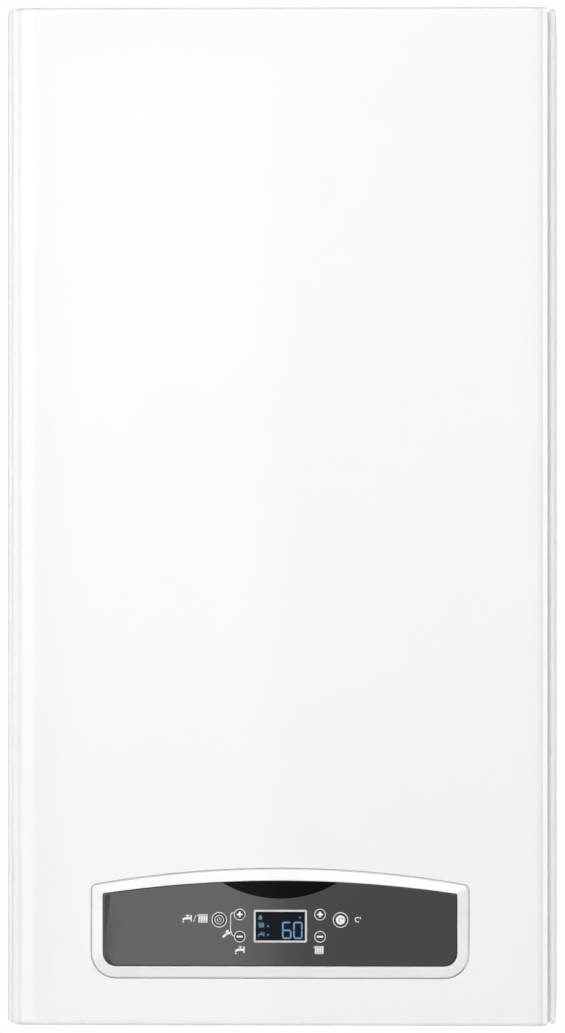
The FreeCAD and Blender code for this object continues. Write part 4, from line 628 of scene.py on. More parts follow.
@dataclass(frozen=True)
class BareMetal(Finish):
    """A bare metal: tone drift, brushing or cast grain, and a dulled patina."""

    dark: Triple
    light: Triple
    patina: Triple
    roughness: float = 0.35
    fineness: float = 500.0
    stretch: Triple = (1.0, 1.0, 1.0)
    relief: float = 0.05
    aged: float = 0.5

    def fill(self, recipe: Recipe) -> None:
        """Set the shader up.

        Args:
            recipe: The material in the making.
        """
        rough = self.roughness
        grain = recipe.effect("speckle", Fineness=self.fineness, Depth=4.0, Stretch=self.stretch)
        bloom = recipe.effect("speckle", Fineness=26.0, Depth=6.0)
        aged = recipe.span(bloom, 0.0, self.aged, 0.42, 0.68)
        recipe.surface(
            Metallic=1.0,
            Base_Color=recipe.mix(aged, recipe.mix(grain, self.dark, self.light), self.patina),
            Roughness=recipe.span(bloom, rough * 0.8, rough * 1.35, 0.3, 0.7),
        )
        recipe.bump(grain, self.relief)


@dataclass(frozen=True)
class Moulded(Finish):
    """Moulded plastic: even colour with a fine spark-eroded grain and pale rubbed edges."""

    colour: Triple
    worn: Triple
    roughness: float = 0.42
    fineness: float = 1100.0
    relief: float = 0.04
    wear: float = 0.3
    gloss: float = 0.5

    def fill(self, recipe: Recipe) -> None:
        """Set the shader up.

        Args:
            recipe: The material in the making.
        """
        rough = self.roughness
        drift = recipe.effect("speckle", Fineness=22.0, Depth=4.0)
        base = recipe.mix(drift, dimmed(self.colour, 0.86), self.colour)
        recipe.surface(
            Specular_IOR_Level=self.gloss,
            Base_Color=recipe.mix(recipe.effect("wear", Amount=self.wear), base, self.worn),
            Roughness=recipe.span(drift, rough * 0.85, rough * 1.15, 0.3, 0.7),
        )
        recipe.bump(recipe.effect("speckle", Fineness=self.fineness, Depth=2.0), self.relief)


@dataclass(frozen=True)
class Fibre(Finish):
    """Ceramic fibre board: matt, with long strands and a scorched bloom."""

    colour: Triple
    scorched: Triple

    def fill(self, recipe: Recipe) -> None:
        """Set the shader up.

        Args:
            recipe: The material in the making.
        """
        strands = recipe.effect("speckle", Fineness=300.0, Depth=6.0, Stretch=(0.2, 1.0, 1.0))
        bloom = recipe.effect("speckle", Fineness=18.0, Depth=4.0)
        recipe.surface(Base_Color=recipe.mix(bloom, self.scorched, self.colour), Roughness=0.95)
        recipe.bump(strands, 0.4, 0.7)


@dataclass(frozen=True)
class Clear(Finish):
    """Glass with faint smears."""

    colour: Triple
    roughness: float = 0.04

    def fill(self, recipe: Recipe) -> None:
        """Set the shader up.

        Args:
            recipe: The material in the making.
        """
        smears = recipe.effect("speckle", Fineness=60.0, Depth=5.0)
        recipe.surface(
            Transmission_Weight=1.0,
            IOR=1.5,
            Base_Color=recipe.mix(smears, dimmed(self.colour, 0.94), self.colour),
            Roughness=recipe.span(smears, self.roughness, self.roughness * 3),
        )


@dataclass(frozen=True)
class Glow(Finish):
    """The lit segments of the display."""

    colour: Triple
    strength: float

    def fill(self, recipe: Recipe) -> None:
        """Set the shader up.

        Args:
            recipe: The material in the making.
        """
        cells = recipe.effect("speckle", Fineness=1500.0, Depth=1.0)
        lit = recipe.mix(cells, dimmed(self.colour, 0.8), self.colour)
        recipe.surface(
            Base_Color=lit, Emission_Color=lit, Emission_Strength=self.strength, Roughness=0.3
        )


FINISHES: tuple[Finish, ...] = (
    Enamel("white_enamel", (0.86, 0.872, 0.866), (0.845, 0.856, 0.85)),
    Enamel("red_enamel", (0.52, 0.035, 0.022), (0.44, 0.028, 0.018), 0.28, 0.05),
    Zinc("galvanised_steel", (0.5, 0.52, 0.53), (0.66, 0.68, 0.69)),
    BareMetal("plated_steel", (0.5, 0.5, 0.48), (0.66, 0.65, 0.62), (0.45, 0.43, 0.38), 0.28),
    BareMetal(
        "aluminised_steel", (0.56, 0.56, 0.54), (0.66, 0.66, 0.64), (0.5, 0.48, 0.44), 0.42, 350.0
    ),
    BareMetal(
        "stainless_steel", (0.5, 0.5, 0.49), (0.62, 0.61, 0.6), (0.44, 0.4, 0.36), 0.32, 420.0,
        (0.05, 1.0, 1.0),
    ),
    BareMetal(
        "cast_aluminium", (0.5, 0.51, 0.52), (0.63, 0.64, 0.65), (0.46, 0.46, 0.45), 0.5, 900.0,
        relief=0.18,
    ),
    BareMetal(
        "copper", (0.72, 0.34, 0.2), (0.86, 0.46, 0.3), (0.42, 0.2, 0.13), 0.3, 260.0, aged=0.7
    ),
    BareMetal("brass", (0.68, 0.5, 0.24), (0.8, 0.62, 0.32), (0.5, 0.36, 0.18), 0.32, 480.0),
    Moulded("white_moulding", (0.86, 0.87, 0.862), (0.9, 0.9, 0.9), 0.14, 700.0, 0.015, 0.0),
    Moulded(
        "anthracite_moulding", (0.0085, 0.0081, 0.006), (0.03, 0.03, 0.03), 0.055, 900.0, 0.003,
        0.2, 0.7,
    ),
    Moulded("button_cap", (0.02, 0.021, 0.02), (0.04, 0.04, 0.04), 0.25, 900.0, 0.006, 0.2),
    Moulded("dark_moulding", (0.075, 0.077, 0.08), (0.16, 0.16, 0.16), 0.5),
    Moulded("pale_moulding", (0.62, 0.6, 0.54), (0.7, 0.7, 0.66), 0.45),
    Moulded("black_moulding", (0.018, 0.018, 0.019), (0.09, 0.09, 0.09), 0.42),
    Moulded("composite_moulding", (0.04, 0.041, 0.042), (0.14, 0.14, 0.14), 0.55, 600.0, 0.1),
    Moulded("blue_moulding", (0.02, 0.1, 0.42), (0.2, 0.3, 0.5), 0.36),
    Moulded("red_moulding", (0.5, 0.022, 0.015), (0.6, 0.2, 0.16), 0.36),
    Moulded("circuit_board", (0.015, 0.12, 0.045), (0.1, 0.2, 0.1), 0.3, 400.0, 0.05),
    Moulded("white_ceramic", (0.84, 0.83, 0.78), (0.88, 0.87, 0.84), 0.16, 500.0, 0.02),
    Moulded(
        "black_lens", (0.002, 0.002, 0.0022), (0.02, 0.02, 0.02), 0.06, 300.0, 0.004, 0.0, 0.05
    ),
    Moulded(
        "display_pane", (0.006, 0.008, 0.013), (0.02, 0.02, 0.03), 0.12, 300.0, 0.004, 0.0, 0.05
    ),
    Moulded("display_bezel", (0.66, 0.67, 0.68), (0.72, 0.72, 0.72), 0.2, 700.0, 0.01),
    Moulded("white_print", (0.88, 0.88, 0.87), (0.95, 0.95, 0.95), 0.4, 1200.0, 0.01, 0.0),
    Moulded("grey_print", (0.13, 0.13, 0.13), (0.2, 0.2, 0.2), 0.4, 1200.0, 0.01, 0.0),
    Fibre("ceramic_fibre", (0.8, 0.77, 0.69), (0.52, 0.42, 0.32)),
    Clear("sight_glass", (0.86, 0.93, 0.88)),
    Glow("display_glow", (0.1, 0.23, 0.42), 0.34),
    Glow("display_faint_glow", (0.05, 0.13, 0.22), 0.5),
)  # fmt: skip


class Paints:
    """Every finish of the boiler, built once and found by name."""

    made: ClassVar[dict[str, bpy.types.Material]] = {}

    def build(self) -> None:
        """Build the shared effects and then the finishes."""
        for effect in (speckle_effect, spangle_effect, dust_effect, wear_effect):
            effect()
        for finish in FINISHES:
            Paints.made[finish.name] = finish.build()

    def dress_frame(self) -> None:
        """Give every node of the frame the finish of its own slot."""
        for entry in frame["record"]["subparts"]:
            node = frame["nodes"][entry["node"]]
            for place in node.material_slots:
                place.material = Paints.made[entry["material_slot"]]
            log.info("%s: %s", entry["node"], entry["material_slot"])


# Studio ------------------------------------------------------------------------------------


@dataclass(frozen=True)
class Lamp:
    """A soft rectangular lamp turned towards a point, which the camera doesn't see.

    Its radiance is how bright its face is, where 1 is a white surface in plain light.
    """

    name: str
    place: Triple
    size: Place
    radiance: float
    aim: Triple = (0.0, -0.3, 0.37)
    mirrored: bool = False
    lighting: bool = True

    def build(self) -> None:
        """Hang the lamp."""
        light = bpy.data.lights.new(self.name, "AREA")
        light.shape = "RECTANGLE"
        light.size, light.size_y = self.size
        light.energy = self.radiance * math.pi * self.size[0] * self.size[1]
        made = placed(self.name, light)
        made.location = self.place
        way = Vector(self.aim) - Vector(self.place)
        made.rotation_euler = way.to_track_quat("-Z", "Y").to_euler()
        made.visible_camera = False
        made.visible_glossy = self.mirrored
        made.visible_diffuse = self.lighting


LAMPS = (
    Lamp("key_light", (0.0, -5.5, 1.3), (1.0, 2.4), 15.3),
    Lamp("fill_light", (-0.2, -1.165, 0.72), (1.0, 0.5), 1.0, (-0.2, 0.0, 0.6)),
    Lamp("card", (-0.4, -6.6, 0.27), (0.31, 1.56), 1.25, (-0.4, 0.0, 0.27), True),
    Lamp("left_card", (-3.0, -3.6, 0.5), (6.0, 2.6), 2.3, mirrored=True, lighting=False),
    Lamp("top_card", (0.0, -3.2, 3.1), (2.4, 3.2), 2.4, mirrored=True, lighting=False),
    Lamp("side_fill", (2.6, 2.2, 0.6), (2.4, 2.4), 2.0),
    Lamp("high_card", (0.0, -9.0, 5.0), (6.0, 6.0), 2.1, mirrored=True, lighting=False),
)


@dataclass
class Studio:
    """The camera, the soft lights, the pale floor and the bright surroundings."""

    camera_distance: float = 6.0
    picture_height: float = 1033 * 0.7262 * MILLIMETRE  # rows times the size of one
    camera_offset: float = 0.22
    picture_middle: Place = (0.0018, 0.370)
    face: float = -0.315
    film: float = 36.0
    sight: float = 100.0
    ambience: float = 0.45
    gloss_behind: float = 0.75
    turnover: Place = (-0.1, 0.3)  # where the gloss passes from the front's to the back's
    floor_height: float = -1.0
    floor_reach: float = 9.0
    floor_lift: float = 0.25

    def camera(self) -> None:
        """A long lens, almost square on to the cover."""
        lens = bpy.data.cameras.new("camera")
        lens.sensor_fit = "VERTICAL"
        lens.sensor_height = self.film
        lens.lens = self.film * self.camera_distance / self.picture_height
        lens.clip_end = self.sight
        made = placed("camera", lens)
        across, height = self.picture_middle
        made.location = (across + self.camera_offset, self.face - self.camera_distance, height)
        turn = math.atan2(self.camera_offset, self.camera_distance)
        made.rotation_euler = (math.radians(90), 0, turn)
        bpy.context.scene.camera = made

    def surroundings(self) -> None:
        """A plain world: white where it is seen, softer where it lights or shows in gloss."""
        world = bpy.data.worlds.new("surroundings")
        world.use_nodes = True
        bpy.context.scene.world = world
        graph = Graph(world.node_tree)
        path = graph.node("LightPath")
        way = graph.node("SeparateXYZ", {0: graph.node("TexCoord")["Generated"]})
        gloss = graph.span(way["Y"], 1.0, self.gloss_behind, *self.turnover)
        shown = graph.span(path["Is Glossy Ray"], self.ambience, gloss)
        rays = {0: path["Is Camera Ray"], 1: path["Is Transmission Ray"]}
        seen = graph.node("Math", rays, operation="MAXIMUM")[0]
        sky = graph.tree.nodes["Background"].inputs
        graph.feed(sky["Color"], (1.0, 1.0, 1.0))
        graph.feed(sky["Strength"], graph.span(seen, shown, 1.0))

    def floor(self) -> None:
        """A wide pale floor, which is clear from below."""
        form = Form("studio_floor")
        reach = self.floor_reach
        row = [(-reach, -reach), (reach, -reach), (reach, reach), (-reach, reach)]
        form.cap(form.ring(Plane.FLOOR, row, self.floor_height))
        data = form.finished()
        recipe = Recipe(form.name)
        grain = recipe.effect("speckle", Fineness=3.0)
        seen = recipe.node("LightPath")["Is Camera Ray"]
        recipe.surface(
            Roughness=0.9,
            Specular_IOR_Level=0.1,
            Base_Color=recipe.mix(grain, (0.9, 0.9, 0.9), (0.93, 0.93, 0.93)),
            Emission_Color=(1.0, 1.0, 1.0),
            Emission_Strength=recipe.span(seen, 0.0, self.floor_lift),
            Alpha=recipe.span(recipe.node("NewGeometry")["Backfacing"], 1.0, 0.0),
        )
        data.materials.append(recipe.material)
        placed(form.name, data)

    def build(self) -> None:
        """Set the whole studio up."""
        bpy.context.scene.view_settings.view_transform = "Standard"
        self.camera()
        for lamp in LAMPS:
            lamp.build()
        self.surroundings()
        self.floor()


# Casing ------------------------------------------------------------------------------------


QUARTER = tuple(math.radians(step * 15) for step in range(7))


@dataclass
class Cover:
    """The enamelled front cover, a pan with soft cheeks and a window for the panel."""

    half: float = 0.1945
    height: float = 0.74
    face: float = -0.315
    back: float = -0.267
    brow: float = 0.1906  # where the shoulder ends, across
    sweep: float = 0.060  # the radius of the cheek's soft start
    sweep_turn: float = 8.0
    shoulder: float = 0.0083  # the radius of the tight bend that follows
    turn: float = 45.0
    crease: float = 0.0006  # the radius of the fold between shoulder and rim
    lean: float = 2.0  # how far the folded rim leans back, in degrees
    nose: float = 0.0004  # the radius of the rim's outer edge
    end: float = 0.003  # the radius of the upper and lower edges
    wall: float = 0.001
    calm: float = 0.002  # a flat margin inside each bend, which keeps the shading even
    window: Arched = Arched(0.2752, 0.0341, 0.1145, 0.7748, 0.0183, 0.0043)
    window_edge: float = 0.7 * MILLIMETRE

    def half_plan(self, inset: float) -> list[Place]:
        """The cover's half plan from its side to the flat front.

        Args:
            inset: How far it is moved inwards.

        Returns:
            The points, as (across, depth).
        """
        sweep_turn, turn, lean = (math.radians(a) for a in (self.sweep_turn, self.turn, self.lean))
        edge = self.brow - self.shoulder * math.sin(turn)
        rise = self.sweep - self.shoulder
        flat = edge - rise * math.sin(sweep_turn)
        middle = self.face + self.sweep
        hub = middle - rise * math.cos(sweep_turn)
        sweep = arc((flat, middle), self.sweep - inset, self.sweep_turn - 90, -90, CURVE_STEPS)
        bend = (self.turn - 90, self.sweep_turn - 90)
        shoulder = arc((edge, hub), self.shoulder - inset, *bend, SHOULDER_STEPS)
        reach = self.shoulder + self.crease
        fold = (edge + reach * math.sin(turn), hub - reach * math.cos(turn))
        crease = arc(fold, self.crease + inset, 90 - self.lean, 90 + self.turn, FOLD_STEPS)
        rim = fold[1] + self.crease * math.cos(lean) - (self.half - fold[0]) * math.sin(lean)
        nose = self.nose - min(inset, self.nose * 0.9)
        corner = (self.half - inset - nose, rim + inset + nose)
        side = arc(corner, nose, 0, -90 - self.lean, CURVE_STEPS)
        calm = (flat - self.calm, self.face + inset)
        return [(self.half - inset, self.back), *side, *crease, *shoulder[1:], *sweep[1:], calm]

    def levels(self) -> list[Place]:
        """The skin's rows from the lower end to the upper.

        Returns:
            The rows, as (inset, height).
        """
        rolled = [(self.end * (1 - math.sin(a)), self.end * (1 - math.cos(a))) for a in QUARTER]
        lower = [*rolled, (0.0, self.end + self.calm)]
        return lower + [(inset, self.height - z) for inset, z in reversed(lower)]

    def build(self) -> None:
        """Make the cover's skin."""
        form = Form("cover_skin")
        rows = []
        for inset, z in self.levels():
            right = self.half_plan(inset)
            plan = right + [(-x, y) for x, y in reversed(right)]
            rows.append(form.ring(Plane.FLOOR, plan, z))
        middle = len(rows) // 2 - 1
        flat = len(rows[0]) // 2 - 1
        for index, (first, second) in enumerate(zip(rows, rows[1:])):
            for side in range(len(first) - 1):
                if (index, side) != (middle, flat):
                    corners = (first[side], first[side + 1], second[side + 1], second[side])
                    form.mesh.faces.new(corners)
        low, high = rows[middle], rows[middle + 1]
        lip = self.window_edge
        edge = [(lip, 0.0), (EASE * lip, EASE * lip), (0.0, lip), (0.0, 3 * lip)]
        rims = form.walls(Plane.FRONT, self.window, [(grow, self.face + y) for grow, y in edge])
        form.cap([low[flat], low[flat + 1], high[flat + 1], high[flat]], rims[0])
        form.close(rows)
        form.piece("white_enamel", "cover", ["front_cover"], self.wall)


@dataclass
class SidePanel:
    """A side of the casing: folded sheet, with a narrow hem and a step along the cover's edge."""

    side: int
    half: float = 0.200
    height: float = 0.74
    face: float = -0.290
    front: float = -0.262
    hem: float = 0.004
    flange: float = 0.011  # how far its ends are turned in
    step: Place = (0.1946, -0.2892)  # the edge of the ledge under the cover's rim
    corner: float = 0.003
    bend: Place = (0.0018, 0.0018)  # how far the front edge is eased, inwards and back
    lip: float = 0.0004
    lean: float = -2.0
    wall: float = 0.0008

    def path(self, grow: float) -> list[Place]:
        """The panel seen from the front, from under the hem round the outside to over it.

        Args:
            grow: How far the outline is moved outwards.

        Returns:
            The points, as (across, height).
        """
        inner = self.half - self.hem + self.lip
        inset = self.half - self.corner
        radius = self.corner + grow
        outer = arc((inset, self.corner), radius, -90, 0, CURVE_STEPS)
        outer += arc((inset, self.height - self.corner), radius, 0, 90, CURVE_STEPS)
        row = [(inner, -grow), *outer, (inner, self.height + grow)]
        return [(self.side * u, v) for u, v in row]

    def build(self) -> None:
        """Make the panel's skin."""
        hand = "right" if self.side > 0 else "left"
        form = Form(f"{hand}_side_skin")
        inwards, along = self.bend
        steps = [(0.0, 0.0), (0.0, self.front)]
        steps += [
            (inwards * (math.cos(a) - 1), self.face + along * (1 - math.sin(a))) for a in QUARTER
        ]
        rows = [form.ring(Plane.FRONT, self.path(grow), depth) for grow, depth in steps]
        form.skin(rows, closed=False)
        form.cap(rows[-1])
        for corner in rows[-1]:
            corner.co.y += (self.half - abs(corner.co.x)) * math.sin(math.radians(self.lean))
        tip = self.side * (self.half - self.flange)
        for end in (0, -1):
            near, far = rows[0][end], rows[1][end]
            inner = form.loop(Vector((tip, corner.co.y, corner.co.z)) for corner in (far, near))
            form.mesh.faces.new((near, far, *inner))
        line = [rows[-1][0], rows[-1][-1]]
        edge = self.half - self.hem
        hub = (edge + self.lip, self.face + self.lip)
        way = arc(hub, self.lip, -90, -180, FOLD_STEPS)[1:]
        way += [(edge, self.step[1] - self.lip / 2), (edge - self.lip / 2, self.step[1]), self.step]
        for x, y in way:
            row = form.loop(Vector((self.side * x, y, corner.co.z)) for corner in line)
            line = form.skin([line, row], closed=False)[1]
        form.piece("white_enamel", "chassis", [f"{hand}_side_panel"], self.wall)


# Control panel -----------------------------------------------------------------------------


def bar(u: float, v: float, wide: float, high: float) -> Rounded:
    """A small upright bar about a centre, with slightly eased corners."""
    ease = min(wide, high) * BAR_EASE
    return Rounded((u - wide / 2, u + wide / 2), (v - high / 2, v + high / 2), ease, 2)


def shifted(shapes: Iterable[Outline], u: float, v: float, scale: float = 1.0) -> list[Shape]:
    """Shapes drawn in millimetres about zero, put at a place of the panel.

    Args:
        shapes: The shapes.
        u: The place across, in metres.
        v: The place's height, in metres.
        scale: How much larger they get.

    Returns:
        The shapes in metres.
    """
    step = MILLIMETRE * scale
    return [
        Shape(tuple((u + a * step, v + b * step) for a, b in shape.points())) for shape in shapes
    ]


class Sign(Enum):
    """The plain symbols of the panel, drawn in millimetres about their centres."""

    PLUS = (bar(0, 0, 4.0, 1.3), bar(0, 1.35, 1.3, 1.4), bar(0, -1.35, 1.3, 1.4))
    MINUS = (bar(0, 0, 4.4, 1.3),)
    POWER = (
        Shape(tuple(arc((0, 0), 1.6, 128, 412, 20) + arc((0, 0), 1.2, 412, 128, 20))),
        bar(0, 1.1, 0.4, 1.7),
    )
    RESTART = (
        Shape(tuple(arc((0, 0), 1.9, 30, 300, 20) + arc((0, 0), 1.3, 300, 30, 20))),
        Shape(((0.75, 0.55), (2.5, 0.55), (1.7, 2.2))),
    )
    TAP = (
        bar(3.1, 0.1, 1.0, 5.0),
        bar(0.9, 0.1, 3.4, 1.7),
        bar(0.3, 1.5, 0.9, 1.2),
        bar(0.3, 2.4, 2.6, 0.7),
        Shape((
            (-0.8, -0.75), (-0.8, 0.95), (-2.3, 0.8), (-3.4, 0.1), (-3.8, -0.9), (-3.8, -1.5),
            (-2.5, -1.5), (-2.4, -0.9), (-1.8, -0.75),
        )),
        Round((-3.2, -2.7), 0.55, 12),
    )  # fmt: skip
    RADIATOR = (
        *(bar(u, 0, 1.3, 5.6) for u in (-2.4, -0.8, 0.8, 2.4)),
        bar(-0.1, 1.9, 6.2, 0.5),
        bar(-0.1, -1.9, 6.2, 0.5),
        bar(-3.6, 2.0, 0.9, 0.5),
    )
    SPANNER = (
        Shape(((-3.6, -2.2), (-2.4, -3.4), (1.2, 0.0), (0.0, 1.2))),
        Shape(tuple(arc((1.3, 1.3), 1.9, 75, 375, 18) + [(1.9, 1.3), (1.3, 1.9)])),
    )
    SLASH = (Shape(((-1.3, -3.0), (-0.7, -3.0), (1.3, 3.0), (0.7, 3.0))),)
    FLAME = (
        Shape((
            (0.0, -2.2), (1.1, -1.9), (1.6, -0.9), (1.3, 0.3), (0.6, 1.1), (0.1, 2.3),
            (-0.6, 1.2), (-1.4, 0.2), (-1.6, -0.9), (-1.1, -1.9),
        )),
    )  # fmt: skip
    DOT = (Round((0, 0), 0.8, 14),)
    DEGREE = (Shape(tuple(arc((0, 0), 1.0, 0, 350, 16) + arc((0, 0), 0.6, 350, 0, 16))),)


# Each bar's middle, in shares of the digit's width and height, and whether it stands
SEGMENTS = {
    "a": (0.5, 1.0, False), "b": (1.0, 0.75, True), "c": (1.0, 0.25, True),
    "d": (0.5, 0.0, False), "e": (0.0, 0.25, True), "f": (0.0, 0.75, True),
    "g": (0.5, 0.5, False),
}  # fmt: skip


@dataclass(frozen=True)
class Digit:
    """A digit of lit bars, in millimetres; the bars run from a at the top round to g across.

    Its left and low are the middles of its first upright and of its lowest bar.
    """

    lit: str
    left: float
    low: float = 63.7
    wide: float = 5.7
    high: float = 11.4
    gauge: float = 1.1
    gap: float = 0.16

    def segment(self, u: float, v: float, upright: bool) -> Shape:
        """One pointed bar about its middle.

        Args:
            u: The middle across.
            v: The middle's height.
            upright: Whether the bar stands.

        Returns:
            The bar's outline.
        """
        end = ((self.high / 2 if upright else self.wide) - self.gap) / 2
        side = self.gauge / 2
        row = (
            (-end, 0.0), (side - end, side), (end - side, side),
            (end, 0.0), (end - side, -side), (side - end, -side),
        )  # fmt: skip
        return Shape(tuple((u + b, v + a) if upright else (u + a, v + b) for a, b in row))

    def bars(self) -> list[Shape]:
        """The lit bars.

        Returns:
            Their outlines.
        """
        found = (SEGMENTS[key] for key in self.lit)
        return [
            self.segment(self.left + self.wide * across, self.low + self.high * up, upright)
            for across, up, upright in found
        ]


@dataclass(frozen=True)
class Key:
    """One round button: its name, place, cap radius, ring prints and symbol."""

    name: str
    place: Place
    radius: float
    rings: tuple[Place, ...]
    sign: Sign
    disc: float = 0.0

    def draw_rings(self, form: Form, depths: Place, on_cap: bool) -> None:
        """Raise the rings on the cap, or those round it.

        Args:
            form: The mesh that they join.
            depths: Their foot and face.
            on_cap: Whether the rings on the cap are meant.
        """
        for inside, outside in self.rings:
            if (outside <= self.radius) == on_cap:
                ring, hole = (Round(self.place, size, ROUND_STEPS) for size in (outside, inside))
                form.plate(Plane.FRONT, ring, [hole], depths)


def stamp(form: Form, shapes: Iterable[Outline], depths: Place) -> None:
    """Raise flat shapes between two depths."""
    for shape in shapes:
        form.moulding(Plane.FRONT, shape, [(0.0, depth) for depth in depths])


SMALL_RINGS = ((0.0037, 0.00418),)
MAIN_RINGS = ((0.00505, 0.00558),)
KEYS = (
    Key("power", (-0.0441, 0.077), 0.0056, (*MAIN_RINGS, (0.0029, 0.00335)), Sign.POWER),
    Key("reset", (0.0441, 0.077), 0.0056, MAIN_RINGS, Sign.RESTART, 0.0033),
    Key("hot_water_plus", (-0.0292, 0.0809), 0.0042, SMALL_RINGS, Sign.PLUS),
    Key("hot_water_minus", (-0.0292, 0.0648), 0.0042, SMALL_RINGS, Sign.MINUS),
    Key("heating_plus", (0.0292, 0.0809), 0.0042, SMALL_RINGS, Sign.PLUS),
    Key("heating_minus", (0.0292, 0.0648), 0.0042, SMALL_RINGS, Sign.MINUS),
)
LIT_DIGITS = (Digit("acdefg", 2.15), Digit("abcdef", 10.25))
LIT_SIGNS = (
    (Sign.FLAME, -0.0142, 0.0789, 0.9),
    (Sign.RADIATOR, -0.0135, 0.0732, 0.64),
    (Sign.TAP, -0.0136, 0.0664, 0.66),
    (Sign.DOT, -0.0086, 0.0724, 0.9),
    (Sign.DOT, -0.0086, 0.0661, 0.9),
    (Sign.DEGREE, 0.0146, 0.0787, 0.8),
)
PRINTED_SIGNS = (
    (Sign.TAP, -0.0674, 0.0779, 0.92),
    (Sign.SLASH, -0.0620, 0.0779, 0.85),
    (Sign.RADIATOR, -0.0559, 0.0779, 1.08),
    (Sign.SPANNER, -0.0388, 0.0668, 0.9),
    (Sign.TAP, -0.0291, 0.0551, 0.95),
    (Sign.RADIATOR, 0.0285, 0.0551, 1.05),
    (Sign.RESTART, 0.0565, 0.0772, 1.05),
)
BRACE = (
    (-33.7, 82.2), (-35.0, 81.9), (-35.8, 80.6), (-35.9, 69.6), (-35.2, 66.8), (-33.6, 65.0),
)  # fmt: skip


